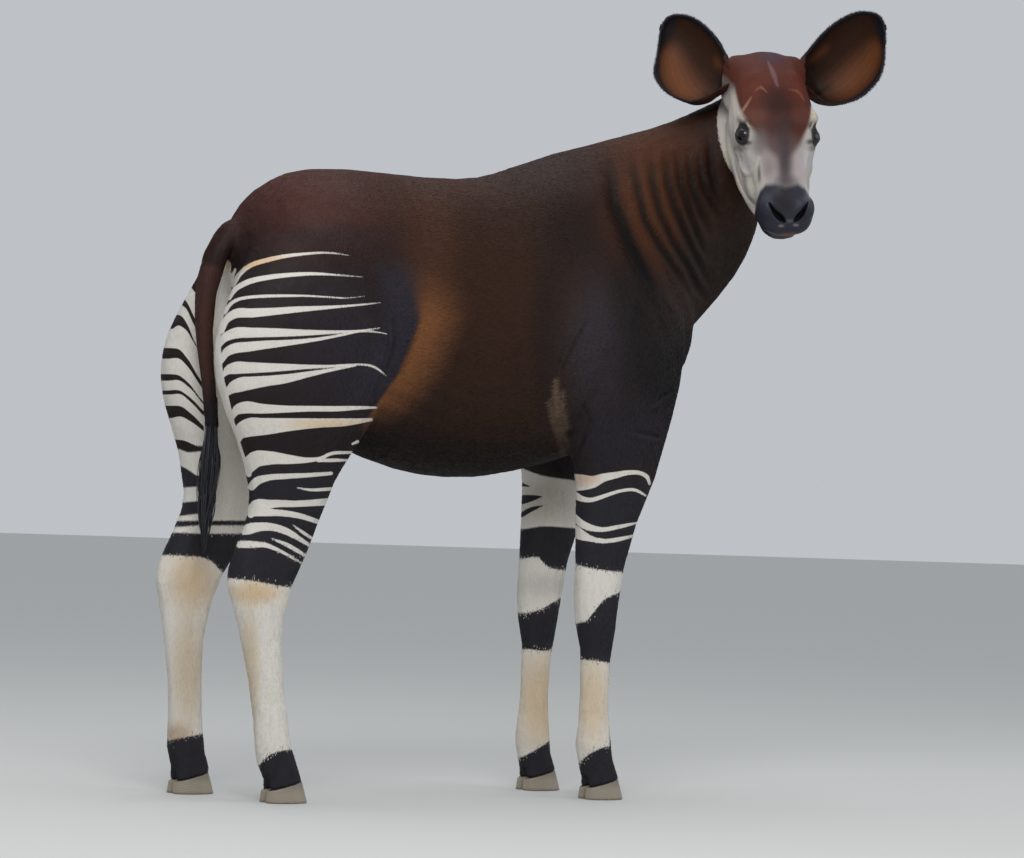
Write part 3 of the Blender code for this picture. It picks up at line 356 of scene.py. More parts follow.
# Fine pale lines of the forehead, the last of them a broad painted highlight down its middle: colour, share, and
# points with half the width.
FACE_LINES = (
    ((168, 118, 84), 0.5, ((259, 357, 1), (295, 331, 5), (339, 366, 1))),
    ((160, 108, 78), 0.4, ((500, 348, 1), (553, 357, 5), (607, 428, 1))),
    ((178, 132, 98), 0.6, ((230, 402, 1), (190, 465, 7), (143, 536, 3))),
    # Painted highlight down the middle of the forehead.
    ((136, 106, 112), 0.4, ((350, 150, 5), (385, 230, 15), (415, 320, 6))),
)
CHEEK_RIDGE = ((128, 800, 6), (140, 880, 8), (160, 935, 9), (205, 958, 9), (250, 915, 8), (282, 840, 5))
CHEEK_CREASE = ((110, 820, 3), (118, 900, 5), (150, 1010, 5), (190, 1100, 6), (245, 1165, 5))
MUZZLE_LINE = ((250, 1240), (262, 1150), (290, 1070), (330, 1024), (400, 1020), (470, 1050), (560, 1020),
               (610, 1050), (650, 1130), (670, 1200))
MUZZLE_SPOTS = (
    (462, 1130, 80, 100, (38, 33, 37), 0.8),
    # Painted blue-grey sheen on the sides of the muzzle.
    (330, 1180, 34, 70, (54, 56, 69), 0.6),
    (632, 1120, 24, 60, (84, 86, 100), 0.6),
    # Painted highlight between the nostrils, above the lip.
    (500, 1290, 24, 14, (104, 100, 112), 0.5),
    (440, 1325, 20, 10, (150, 140, 142), 0.6),
    (545, 1320, 20, 10, (150, 140, 142), 0.6),
    (495, 1384, 70, 12, (112, 66, 60), 0.85),
    (490, 1440, 120, 34, (22, 19, 22), 0.9),
)
# Each nostril as a curved line with half its width.
NOSTRILS = (
    ((358, 1164, 3), (374, 1192, 9), (404, 1236, 17), (444, 1272, 19), (464, 1292, 7)),
    ((632, 1156, 3), (618, 1186, 8), (592, 1232, 16), (558, 1270, 17), (541, 1288, 7)),
)
MUZZLE_COLOUR = (50, 50, 60)
LIP_COLOUR = (122, 78, 72)
BACK_OF_HEAD = (82, 46, 38)
JAW_COLOUR = (150, 132, 116)
EAR_INSIDE = (118, 70, 43)
EAR_MIDDLE = (26, 16, 9)
EAR_OUTSIDE = (64, 36, 28)
EAR_RIM = (30, 26, 30)

# Coat: how much skin one tuft stands on, its length and its width, by part.
COAT = {
    "torso": (4.6e-3, 0.0145, 0.0031),
    "haunch": (3.35e-3, 0.0100, 0.0022),
    "neck": (4.2e-3, 0.0125, 0.0028),
    "leg": (3.4e-3, 0.0090, 0.0022),
    "head": (2.55e-3, 0.0060, 0.0015),
    "tail": (3.2e-3, 0.0120, 0.0022),
    "ear": (2.9e-3, 0.0085, 0.0018),
}
TUFT_LIFT = 0.0009
EAR_FRINGE = 2600
TAIL_LOCKS = 230


def ramp(low, high, value):
    t = np.clip((value - low) / (high - low), 0.0, 1.0)
    return t * t * (3 - 2 * t)


def linear(colour):
    """Light amounts of a colour written as it looks, 0 to 255."""
    share = np.asarray(colour, float) / 255.0
    return np.where(share <= 0.04045, share / 12.92, ((share + 0.055) / 1.055) ** 2.4)


def points_of(mesh):
    points = np.empty(len(mesh.vertices) * 3, np.float32)
    mesh.vertices.foreach_get("co", points)
    return points.reshape(-1, 3).astype(float)


def put_points(mesh, points):
    mesh.vertices.foreach_set("co", np.asarray(points, np.float32).ravel())
    mesh.update()


def normals_of(mesh):
    normals = np.empty(len(mesh.vertices) * 3, np.float32)
    mesh.vertices.foreach_get("normal", normals)
    return normals.reshape(-1, 3).astype(float)


def edges_of(mesh):
    edges = np.empty(len(mesh.edges) * 2, np.int32)
    mesh.edges.foreach_get("vertices", edges)
    return edges.reshape(-1, 2)


def new_object(name, mesh):
    made = bpy.data.objects.new(name, mesh)
    bpy.context.scene.collection.objects.link(made)
    return made


def head_matrix():
    """From the head's own frame to the body's."""
    level = Vector((math.cos(HEAD_HEADING), math.sin(HEAD_HEADING), 0.0))
    down = Vector((0.0, 0.0, -1.0))
    forward = level * math.cos(HEAD_PITCH) + down * math.sin(HEAD_PITCH)
    up = level * math.sin(HEAD_PITCH) - down * math.cos(HEAD_PITCH)
    turn = Matrix((forward, up.cross(forward), up)).transposed().to_4x4()
    return Matrix.Translation(HEAD_ORIGIN) @ Matrix.Rotation(HEAD_TILT, 4, level) @ turn


HEAD = head_matrix()
HEAD_TURN = np.array(HEAD.to_3x3())


def on_side(point, side):
    return Vector((point[0], point[1] * side, point[2]))


def in_head(points):
    return (points - np.array(HEAD_ORIGIN)) @ HEAD_TURN


def on_picture(points):
    """Where points of the body's frame fall in the picture, in picture points from the upper left."""
    offset = points - np.array([CAMERA.x, CAMERA.y, 0.0])
    depth = offset @ np.array(INTO)
    x = CAMERA_SPAN * (offset @ np.array(RIGHT)) / depth
    y = CAMERA_LEVEL + CAMERA_SPAN * (CAMERA.z - points[:, 2]) / depth - PICTURE[1] / 2
    cos, sin = math.cos(CAMERA_ROLL), math.sin(CAMERA_ROLL)
    return np.stack([PICTURE[0] / 2 + x * cos - y * sin, PICTURE[1] / 2 + x * sin + y * cos], axis=1)


def as_right(points):
    """The places of the right side that points of the left side mirror."""
    made = points.copy()
    left = points[:, 1] > 0
    hind = ramp(-0.30, -0.40, points[:, 0])
    fore = ramp(-0.02, 0.06, points[:, 0])
    back = hind * HIND_LEFT_BACK * np.clip(1 - points[:, 2] / HIND_SWING_TOP, 0, None)
    back += fore * FORE_LEFT_BACK * np.clip(1 - points[:, 2] / FORE_SWING_TOP, 0, None)
    made[left, 0] += back[left]
    made[left, 1] *= -1
    return made


def line_edge(where, view, rows, margin=8.0):
    """How far inside a drawn line each place is, in picture points, below 0 outside."""
    rows = spread(rows, 14.0 * view[2] / 4) / view[2] + np.array([view[0], view[1], 0.0])
    edge = np.full(len(where), -margin)
    low = rows[:, :2].min(axis=0) - margin - rows[:, 2].max()
    high = rows[:, :2].max(axis=0) + margin + rows[:, 2].max()
    near = np.flatnonzero(((where > low) & (where < high)).all(axis=1))
    spot = where[near]
    best = edge[near]
    for start, end in zip(rows[:-1], rows[1:]):
        step = end[:2] - start[:2]
        t = np.clip((spot - start[:2]) @ step / (step @ step), 0, 1)
        away = np.linalg.norm(spot - start[:2] - t[:, None] * step, axis=1)
        best = np.maximum(best, start[2] + (end[2] - start[2]) * t - away)
    edge[near] = best
    return edge


def lines_edge(where, view, lines):
    edge = np.full(len(where), -8.0)
    for rows in lines:
        edge = np.maximum(edge, line_edge(where, view, rows))
    return edge


def zone_edge(where, view, upper, lower):
    """How far inside the zone between two lines each place is, in picture points."""
    spot = (where - np.array(view[:2])) * view[2]
    upper, lower = spread(upper, 8.0), spread(lower, 8.0)
    top = np.interp(spot[:, 0], upper[:, 0], upper[:, 1])
    bottom = np.interp(spot[:, 0], lower[:, 0], lower[:, 1])
    return np.minimum(spot[:, 1] - top, bottom - spot[:, 1]) / view[2]


def spot_share(where, x, y, across, down):
    """1 in the middle of a soft round spot, 0 well outside it."""
    away = ((where[:, 0] - x) / across) ** 2 + ((where[:, 1] - y) / down) ** 2
    return np.exp(-(away**1.5))


def paint_spots(where, paint, spots):
    """Colours with soft spots of other colours laid over them in turn."""
    for x, y, across, down, colour, share in spots:
        amount = share * spot_share(where, x, y, across, down)
        paint += amount[:, None] * (linear(colour) - paint)
    return paint


def white_edge(points, normals, part):
    """How far inside a white marking each point is, in picture points, below 0 in the dark."""
    own = on_picture(points)
    right = on_picture(as_right(points))
    right[:, 0] -= 6.0 * ramp(256, 212, right[:, 0]) * ramp(490, 440, right[:, 1])
    inward = np.where(points[:, 1] < 0, normals[:, 1], -normals[:, 1])
    seen = ramp(-0.15, 0.30, normals @ -np.array(INTO)) * (points[:, 1] > 0.0)
    edge = np.full(len(points), -8.0)
    rear = (points[:, 0] < -0.25) & np.isin(part, ("torso", "leg_hind_right"))
    edge[rear] = np.maximum(
        lines_edge(right[rear], HAUNCH, HAUNCH_STRIPES), lines_edge(right[rear], HIND, HIND_STRIPES)
    )
    band = np.array(HAUNCH_STRIPES[-1], float)
    spot = (right - np.array(HAUNCH[:2])) * HAUNCH[2]
    past = (np.interp(spot[:, 1], band[:, 1], band[:, 0]) - spot[:, 0]) / HAUNCH[2]
    beside = (spot[:, 1] > band[0, 1] + 20) & (spot[:, 1] < band[-1, 1]) & (np.abs(points[:, 1]) > 0.045)
    past = np.where(beside, past, -8.0)
    edge[rear] = np.maximum(edge[rear], past[rear])
    far = rear & (seen > 0) & (own[:, 0] < 235)
    banded = np.full(far.sum(), -8.0)
    for upper, lower in HAUNCH_LEFT_BANDS:
        banded = np.maximum(banded, zone_edge(own[far], HAUNCH, upper, lower))
    edge[far] += seen[far] * (np.clip(banded, -8.0, 8.0) - edge[far])
    below = part == "leg_hind_right"
    zone = SOFT_EDGE * zone_edge(right[below], HIND, HIND_RIGHT_BELOW, HIND_RIGHT_PASTERN)
    edge[below] = np.maximum(edge[below], zone)
    below = part == "leg_hind_left"
    for upper, lower in HIND_LEFT_BANDS:
        edge[below] = np.maximum(edge[below], SOFT_EDGE * zone_edge(own[below], HIND, upper, lower))
    inner = ramp(0.20, 0.50, inward) * ramp(0.60, 0.68, points[:, 2]) * ramp(1.26, 1.18, points[:, 2])
    inner *= ramp(0.16, 0.12, np.abs(points[:, 1])) * ramp(-0.45, -0.52, points[:, 0])
    inner *= points[:, 1] < 0
    far_inner = ramp(200, 208, own[:, 0]) * seen * ramp(0.60, 0.66, points[:, 2])
    inner = np.maximum(inner, far_inner * ramp(1.26, 1.18, points[:, 2]) * ramp(-0.40, -0.46, points[:, 0]))
    edge = np.maximum(edge, 16 * inner * rear - 8)
    edge[below] = np.maximum(edge[below], 16 * inner[below] - 8)
    near_arm = (part == "torso") & (points[:, 0] > 0.0) & (points[:, 1] < -0.03) & (points[:, 2] < 0.82)
    fore = near_arm | (part == "leg_fore_right")
    edge[fore] = lines_edge(own[fore], FORE, FORE_STRIPES)
    for upper, lower in FORE_RIGHT_ZONES:
        edge[fore] = np.maximum(edge[fore], SOFT_EDGE * zone_edge(own[fore], FORE, upper, lower))
    edge[fore] = np.minimum(edge[fore], -line_edge(own[fore], FORE, FORE_RIGHT_FRONT))
    far_arm = (part == "torso") & (points[:, 0] > 0.0) & (points[:, 1] > 0.03) & (points[:, 2] < 0.82)
    fore = far_arm | (part == "leg_fore_left")
    for upper, lower in FORE_LEFT_ZONES:
        edge[fore] = np.maximum(edge[fore], SOFT_EDGE * zone_edge(own[fore], FORE, upper, lower))
    edge[fore] = np.minimum(edge[fore], -lines_edge(own[fore], FORE, FORE_LEFT_SPURS))
    return edge


def muzzle_edge(where):
    """How far inside the bare dark muzzle each place of the face is, in picture points."""
    spot = (where - np.array(FACE[:2])) * FACE[2]
    line = np.array(MUZZLE_LINE, float)
    return (spot[:, 1] - np.interp(spot[:, 0], line[:, 0], line[:, 1])) / FACE[2]


def nostril_edge(where):
    return lines_edge(where, FACE, NOSTRILS)


def face_paint(points, normals):
    where = on_picture(points)
    spot = (where - np.array(FACE[:2])) * FACE[2]
    local = in_head(points)
    line = np.array(FOREHEAD_LINE, float)
    brown = ramp(52, -52, spot[:, 1] - np.interp(spot[:, 0], line[:, 0], line[:, 1]))
    paint = linear(FACE_COLOUR) + brown[:, None] * (linear(FOREHEAD_COLOUR) - linear(FACE_COLOUR))
    paint = paint_spots(spot, paint, FACE_SPOTS)
    # The last of these lines is a painted highlight.
    for colour, share, rows in FACE_LINES:
        amount = share * ramp(-1.2, 0.8, line_edge(where, FACE, rows))
        paint += amount[:, None] * (linear(colour) - paint)
    # Painted highlight along the raised cheek ridge, and painted shade in the sunk cheek crease.
    ridge = ramp(-1.5, 1.0, line_edge(where, FACE, CHEEK_RIDGE))[:, None]
    paint += 0.5 * ridge * (linear((208, 200, 186)) - paint)
    crease = ramp(-1.0, 0.6, line_edge(where, FACE, CHEEK_CREASE))[:, None]
    paint += 0.5 * crease * (linear((104, 86, 76)) - paint)
    dark = ramp(-3.0, 4.0, muzzle_edge(where)) * ramp(0.30, 0.36, local[:, 0])
    dark = np.maximum(dark, ramp(0.385, 0.42, local[:, 0]))
    away = ramp(0.05, -0.35, normals @ -np.array(INTO))[:, None]
    behind = linear(BACK_OF_HEAD) + ramp(0.03, 0.20, local[:, 0])[:, None] * (
        linear(JAW_COLOUR) - linear(BACK_OF_HEAD)
    )
    paint += away * (behind - paint)
    nape = ramp(0.03, -0.01, local[:, 0])[:, None] * ramp(0.03, -0.02, local[:, 2])[:, None]
    paint += nape * (linear(BACK_OF_HEAD) - paint)
    paint += dark[:, None] * (linear(MUZZLE_COLOUR) - paint)
    # The muzzle's spots include painted sheen and a painted highlight.
    paint = np.where(dark[:, None] > 0.3, paint_spots(spot, paint.copy(), MUZZLE_SPOTS), paint)
    # Painted shade inside the sunk nostrils.
    nostril_shade = ramp(-1.4, 0.6, nostril_edge(where)) * (local[:, 0] > 0.37)
    paint += nostril_shade[:, None] * (linear((12, 10, 12)) - paint)
    for side in (1, -1):
        paint += lid_shade(local, side)[:, None] * (linear((30, 26, 28)) - paint)
        line = upper_lid_line(local, side)[:, None]
        paint += line * (linear((196, 186, 170)) - paint)
    return paint


def eye_slit_place(local, side):
    """For points of the head: place along and across the slit of an eye, and depth out of it."""
    out = on_side(EYE_OUT, side)
    along = Vector((1.0, 0.0, -0.18))
    along = (along - out * along.dot(out)).normalized()
    across = out.cross(along) * side
    offset = local - np.array(on_side(EYE_CENTRE, side))
    return offset @ np.array(along), offset @ np.array(across), offset @ np.array(out)


def slit_ratio(along, across):
    turn = np.abs(along) / np.maximum(np.hypot(along, across), 1e-6)
    return np.hypot(along / EYE_SLIT[0], across / (EYE_SLIT[1] * (1 - 0.12 * turn)))


def lid_shade(local, side):
    along, across, depth = eye_slit_place(local, side)
    ratio = slit_ratio(along, across)
    return 0.95 * ramp(1.62, 1.24, ratio) * (depth > 0)


def upper_lid_line(local, side):
    along, across, depth = eye_slit_place(local, side)
    ratio = slit_ratio(along, across)
    band = ramp(1.36, 1.52, ratio) * ramp(1.90, 1.70, ratio)
    above = ramp(0.000, -0.008, along)
    return 0.85 * band * above * (depth > 0)


def fold_depth(where, view, rows, reach):
    """1 along the deepest part of a fold, falling softly to 0 beside it and towards its ends."""
    rows = np.asarray(rows, float)
    spots = rows[:, :2] / view[2] + np.array(view[:2])
    strength = rows[:, 2] / rows[:, 2].max()
    depth = np.zeros(len(where))
    near = ((where > spots.min(axis=0) - 3 * reach) & (where < spots.max(axis=0) + 3 * reach)).all(axis=1)
    near = np.flatnonzero(near)
    for k in range(len(spots) - 1):
        step = spots[k + 1] - spots[k]
        t = np.clip((where[near] - spots[k]) @ step / (step @ step), 0, 1)
        away = np.linalg.norm(where[near] - spots[k] - t[:, None] * step, axis=1)
        own = strength[k] + (strength[k + 1] - strength[k]) * t
        depth[near] = np.maximum(depth[near], own * np.exp(-((away / reach) ** 2)))
    return depth


def neck_grooves(points):
    """Depth of the folds of the neck, 0 on the smooth skin and 1 in a groove."""
    where = on_picture(points)
    depth = np.zeros(len(points))
    for rows in NECK_GROOVES:
        depth = np.maximum(depth, fold_depth(where, NECK, rows, 4.4))
    return depth * ramp(0.05, -0.02, points[:, 1]) * ramp(0.08, 0.18, points[:, 0])


def body_paint(points, normals, part):
    """Colours of the coat where it isn't white, with painted shade in the folds, the neck's grooves and dip and along
    the belly, and painted sheen and highlights.
    """
    where = on_picture(as_right(points))
    paint = paint_spots(where, np.tile(linear(BODY_COLOUR), (len(points), 1)), BODY_SPOTS)
    line = np.array(HAUNCH_FRONT, float)
    past = where[:, 0] - np.interp(where[:, 1], line[:, 1], line[:, 0])
    soft = 2.5 + 16 * ramp(330, 260, where[:, 1])
    # Painted bluish sheen on a strip just behind the crease.
    behind = ramp(soft, -soft, past) * ramp(-46, -24, past) * ramp(240, 290, where[:, 1])
    paint += (0.8 * behind * ramp(425, 380, where[:, 1]))[:, None] * (linear(THIGH_FRONT_SHEEN) - paint)
    ahead = ramp(-soft, soft, past) * ramp(56, 4, past) * ramp(250, 330, where[:, 1])
    paint += (ahead * ramp(440, 400, where[:, 1]))[:, None] * (linear(FLANK_COLOUR) - paint)
    # Painted shade along the thin folds of the skin.
    for view, rows in SKIN_FOLDS:
        paint *= 1 - 0.28 * fold_depth(where, view, rows, 2.4)[:, None]
    # Painted shade in the grooves of the neck.
    groove = neck_grooves(points)
    paint *= 1 - 0.70 * groove[:, None]
    streak = ramp(-4.0, 1.6, lines_edge(where, (0, 0, 1.0), PALE_STREAKS))
    paint += (0.34 * streak)[:, None] * (linear((150, 124, 102)) - paint)
    # Painted red-brown highlight on the neck's folds between the grooves.
    neck_fold_highlight = spot_share(where, 655, 205, 46, 60) * ramp(0.05, -0.02, points[:, 1])
    paint += (0.55 * neck_fold_highlight * (1 - groove) ** 3)[:, None] * (linear((112, 66, 42)) - paint)
    # Painted shade in the dip between shoulder and neck.
    hollow_shade = 0.8 * fold_depth(where, NECK, NECK_HOLLOW_SHADE, 11.0)
    paint += hollow_shade[:, None] * (linear((14, 10, 9)) - paint)
    low = ramp(0.80, 0.72, points[:, 2])[:, None]
    paint += low * (linear(LEG_DARK) - paint)
    # Painted shade on skin that faces downwards, along the belly.
    underside_shade = ramp(-0.3, -0.9, normals[:, 2])[:, None] * ramp(0.70, 0.76, points[:, 2])[:, None]
    paint += 0.7 * underside_shade * (linear((26, 18, 15)) - paint)
    tail = (part == "tail")[:, None]
    end = ramp(0.96, 0.85, points[:, 2])[:, None]
    return np.where(tail, linear(TAIL_COLOUR) + end * (linear((30, 28, 34)) - linear(TAIL_COLOUR)), paint)


def pale_paint(points, part):
    own = np.isin(part, ("leg_fore_left", "leg_hind_left"))[:, None]
    where = np.where(own, on_picture(points), on_picture(as_right(points)))
    paint = paint_spots(where, np.tile(linear(PALE_COLOUR), (len(points), 1)), PALE_SPOTS)
    return paint


def soften(points, edges, rounds, pull, push=0.53):
    """Smooths points towards their neighbours and back, which keeps the volume."""
    count = len(points)
    valence = np.bincount(edges.ravel(), minlength=count)[:, None]
    pull = pull[:, None]
    for turn in range(rounds * 2):
        total = np.empty_like(points)
        for axis in range(3):
            total[:, axis] = np.bincount(edges[:, 0], points[edges[:, 1], axis], count)
            total[:, axis] += np.bincount(edges[:, 1], points[edges[:, 0], axis], count)
        step = 0.5 if turn % 2 == 0 else -push
        points = points + step * pull * (total / valence - points)
    return points


def welded(mesh):
    """A bmesh of a mesh with doubled points joined."""
    shape = bmesh.new()
    shape.from_mesh(mesh)
    bmesh.ops.remove_doubles(shape, verts=shape.verts, dist=1e-5)
    return shape


def remeshed(name, mesh, voxel):
    made = new_object(name, mesh)
    remesh = made.modifiers.new("Remesh", "REMESH")
    remesh.mode = "VOXEL"
    remesh.voxel_size = voxel
    bpy.context.view_layer.update()
    graph = bpy.context.evaluated_depsgraph_get()
    made.data = bpy.data.meshes.new_from_object(made.evaluated_get(graph))
    made.modifiers.clear()
    made.data.name = name
    return made


def largest_part(mesh):
    """Keeps only the points that hang together with the first of the topmost."""
    edges = edges_of(mesh)
    label = np.arange(len(mesh.vertices))
    while True:
        low = np.minimum(label[edges[:, 0]], label[edges[:, 1]])
        lower = label.copy()
        np.minimum.at(lower, edges[:, 0], low)
        np.minimum.at(lower, edges[:, 1], low)
        lower = lower[lower]
        if (lower == label).all():
            break
        label = lower
    values, counts = np.unique(label, return_counts=True)
    drop = set(np.flatnonzero(label != values[counts.argmax()]).tolist())
    if drop:
        shape = bmesh.new()
        shape.from_mesh(mesh)
        bmesh.ops.delete(shape, geom=[v for v in shape.verts if v.index in drop], context="VERTS")
        shape.to_mesh(mesh)
        shape.free()


def refine(mesh, chosen):
    """Splits every face whose points are chosen into four."""
    shape = bmesh.new()
    shape.from_mesh(mesh)
    flags = chosen.tolist()
    edges = [e for e in shape.edges if flags[e.verts[0].index] and flags[e.verts[1].index]]
    bmesh.ops.subdivide_edges(shape, edges=edges, cuts=1, use_grid_fill=True)
    shape.to_mesh(mesh)
    shape.free()


def head_share(points):
    local = in_head(points)
    inside = ramp(-0.20, -0.12, local[:, 2]) * ramp(-0.12, -0.06, local[:, 0])
    near = 1 - ramp(0.13, 0.18, np.abs(local[:, 1]))
    return inside * near * ramp(1.2, 1.3, points[:, 2])


def face_detail(points):
    """True near the eyes, nostrils and mouth, where the skin is finest."""
    local = in_head(points)
    chosen = (local[:, 0] > 0.375) & (local[:, 2] > -0.07)
    for side in (1, -1):
        away = np.linalg.norm(local - np.array(on_side(EYE_CENTRE, side)), axis=1)
        chosen |= away < 0.046
    return chosen & (head_share(points) > 0.3)


def lip_path():
    half = ((0.345, 0.066, -0.047), (0.385, 0.068, -0.043), (0.425, 0.064, -0.040),
            (0.455, 0.048, -0.037), (0.476, 0.0, -0.035))
    return [np.array(p) for p in half] + [np.array(on_side(p, -1)) for p in reversed(half[:-1])]


def distance_to_path(points, path):
    best = np.full(len(points), 1.0)
    for start, end in zip(path[:-1], path[1:]):
        step = end - start
        t = np.clip((points - start) @ step / (step @ step), 0, 1)
        best = np.minimum(best, np.linalg.norm(points - start - t[:, None] * step, axis=1))
    return best


def shape_face(points, normals):
    """Opens the eyes, draws the lids round the balls, and sinks nostrils, mouth and creases."""
    local = in_head(points)
    nostril = nostril_edge(on_picture(points))
    front = local[:, 0] > 0.37
    local += (0.012 * ramp(-1.6, 2.4, nostril) * front)[:, None] * np.array((-0.50, 0.0, -0.80))
    local += (0.0009 * np.exp(-(((nostril + 3.6) / 2.0) ** 2)) * front)[:, None] * (normals @ HEAD_TURN)
    mouth = distance_to_path(local, lip_path())
    local[:, 0] -= 0.0045 * (1 - ramp(0.0006, 0.0032, mouth)) * ramp(0.33, 0.37, local[:, 0])
    where = on_picture(points)
    ridge = ramp(-2.0, 1.0, line_edge(where, FACE, CHEEK_RIDGE))
    crease = ramp(-1.5, 0.8, line_edge(where, FACE, CHEEK_CREASE))
    turned = normals @ HEAD_TURN
    local += turned * ((0.0016 * ridge - 0.0022 * crease) * (local[:, 2] > -0.06))[:, None]
    for side in (1, -1):
        along, across, depth = eye_slit_place(local, side)
        ratio = slit_ratio(along, across)
        centre = np.array(on_side(EYE_CENTRE, side))
        offset = local - centre
        far = np.maximum(np.linalg.norm(offset, axis=1), 1e-6)
        near = (far < 0.045) & (depth > 0.004)
        lid = ramp(2.6, 1.0, ratio)
        want = EYE_RADIUS + 0.0006 + 0.0022 * ramp(1.0, 1.5, ratio)
        level = far + lid * (np.minimum(want, far) - far)
        level += 0.0007 * np.exp(-(((ratio - 1.28) / 0.16) ** 2))
        level = np.where(ratio < 1.0, EYE_RADIUS * (0.70 + 0.26 * ramp(0.75, 1.0, ratio)), level)
        local = np.where(near[:, None], centre + offset * (level / far)[:, None], local)
    return local @ HEAD_TURN.T + np.array(HEAD_ORIGIN)


def part_names(tree, owners, names, points):
    """The solid of flesh that lies nearest to each point."""
    found = np.array([owners[tree.find_nearest(p)[2]] for p in points])
    return np.array(names)[found]


def joined_solids():
    """One search tree over the solids of flesh, with the number of the solid that owns each face."""
    points, faces, owners = [], [], []
    for number, name in enumerate(FLESH):
        mesh = nodes[name].data
        start = len(points)
        points.extend(v.co.copy() for v in mesh.vertices)
        for face in mesh.polygons:
            faces.append([start + v for v in face.vertices])
            owners.append(number)
    return BVHTree.FromPolygons(points, faces), owners


def build_skin():
    shape = bmesh.new()
    for name in FLESH:
        piece = welded(nodes[name].data)
        piece.normal_update()
        for vert in piece.verts:
            vert.co += vert.normal * PUSH
        mesh = bpy.data.meshes.new("piece")
        piece.to_mesh(mesh)
        piece.free()
        shape.from_mesh(mesh)
    for side in (1, -1):
        place = Matrix.Translation(SHIFT) @ HEAD @ Matrix.Translation(on_side(EYE_CENTRE, side))
        bmesh.ops.create_uvsphere(
            shape, u_segments=24, v_segments=16, radius=EYE_RADIUS + 0.0012, matrix=place
        )
        for centre, radii in HEAD_FILL:
            place = Matrix.Translation(SHIFT) @ HEAD @ Matrix.Translation(on_side(centre, side))
            place = place @ Matrix.Diagonal((*radii, 1.0))
            bmesh.ops.create_uvsphere(shape, u_segments=20, v_segments=14, radius=1.0, matrix=place)
    mesh = bpy.data.meshes.new("skin")
    shape.to_mesh(mesh)
    shape.free()
    skin = remeshed("skin", mesh, VOXEL)
    largest_part(skin.data)
    points = points_of(skin.data) - np.array(SHIFT)
    share = head_share(points)
    trunk = ramp(0.66, 0.90, points[:, 2]) * (1 - share)
    tail = ramp(-0.745, -0.765, points[:, 0]) * (np.abs(points[:, 1]) < 0.05)
    trunk *= 1 - tail
    edges = edges_of(skin.data)
    points = soften(points, edges, 14, 0.9 - 0.35 * share)
    points = soften(points, edges, 50, trunk)
    put_points(skin.data, points)
    refine(skin.data, head_share(points) > 0.25)
    points = points_of(skin.data)
    share = head_share(points)
    points = soften(points, edges_of(skin.data), 5, share)
    local = in_head(points)
    melt = np.maximum(ramp(0.14, 0.10, local[:, 0]), 0.6 * ramp(0.35, 0.38, local[:, 0]))
    points = soften(points, edges_of(skin.data), 60, share * melt, 0.0)
    put_points(skin.data, points)
    marked = (points[:, 0] < -0.25) & (points[:, 2] > 0.55) | (points[:, 2] > 0.62) & (points[:, 2] < 0.85)
    edge = white_edge(points, normals_of(skin.data), np.full(len(points), "torso"))
    refine(skin.data, face_detail(points) | marked & (np.abs(edge) < 4.0))
    points = points_of(skin.data)
    fine = face_detail(points)
    points = soften(points, edges_of(skin.data), 3, fine.astype(float))
    put_points(skin.data, points)
    normals = normals_of(skin.data)
    share = head_share(points)
    depth = COAT_DEPTH + (FACE_DEPTH - COAT_DEPTH) * share
    groove = neck_grooves(points)
    depth += 0.0080 * groove
    where = on_picture(as_right(points))
    for view, rows in SKIN_FOLDS:
        depth += 0.0042 * fold_depth(where, view, rows, 2.0) * (share < 0.1)
    tail = ramp(-0.745, -0.765, points[:, 0]) * (np.abs(points[:, 1]) < 0.05)
    depth -= 0.0030 * tail
    points -= normals * depth[:, None]
    face = share > 0.02
    points[face] = shape_face(points[face], normals[face])
    put_points(skin.data, points)
    return skin


def faces_of(mesh):
    """Triangles of a mesh as rows of three point numbers."""
    mesh.calc_loop_triangles()
    corners = np.empty(len(mesh.loop_triangles) * 3, np.int32)
    mesh.loop_triangles.foreach_get("vertices", corners)
    return corners.reshape(-1, 3)


def add_colour(mesh, name, colour):
    """Stores a colour for each point."""
    layer = mesh.attributes.new(name, "FLOAT_COLOR", "POINT")
    rgba = np.ones((len(mesh.vertices), 4), np.float32)
    rgba[:, :3] = colour
    layer.data.foreach_set("color", rgba.ravel())


def add_value(mesh, name, value):
    layer = mesh.attributes.new(name, "FLOAT", "POINT")
    layer.data.foreach_set("value", np.asarray(value, np.float32))


def across(direction, normals):
    """Directions laid into the surface, of length 1."""
    flat = direction - (direction * normals).sum(axis=1, keepdims=True) * normals
    return flat / np.maximum(np.linalg.norm(flat, axis=1, keepdims=True), 1e-6)


def lie(points, normals, part):
    """Which way the hair lies: back from the face, down the neck and legs, and back along the trunk."""
    side = np.sign(points[:, 1])
    height = points[:, 2]
    low = ramp(1.30, 0.85, height)
    rear = ramp(-0.35, -0.60, points[:, 0])
    direction = np.stack(
        [-1 + 0.9 * low * ramp(0.0, 0.2, points[:, 0]) + 0.75 * rear, 0.0 * side, -0.25 - 0.9 * low * rear],
        axis=1,
    )
    direction[:, 2] -= 0.8 * ramp(0.1, 0.3, points[:, 0]) + 0.4 * rear
    leg = np.char.startswith(part.astype(str), "leg")
    direction[leg] = (-0.06, 0.0, -1.0)
    direction[part == "tail"] = (0.0, 0.0, -1.0)
    head = part == "head"
    if head.any():
        local = in_head(points[head])
        own = np.stack([-np.ones(len(local)), 0.35 * np.sign(local[:, 1]), -0.15 * np.ones(len(local))], axis=1)
        direction[head] = own @ HEAD_TURN.T
    return across(direction, normals)


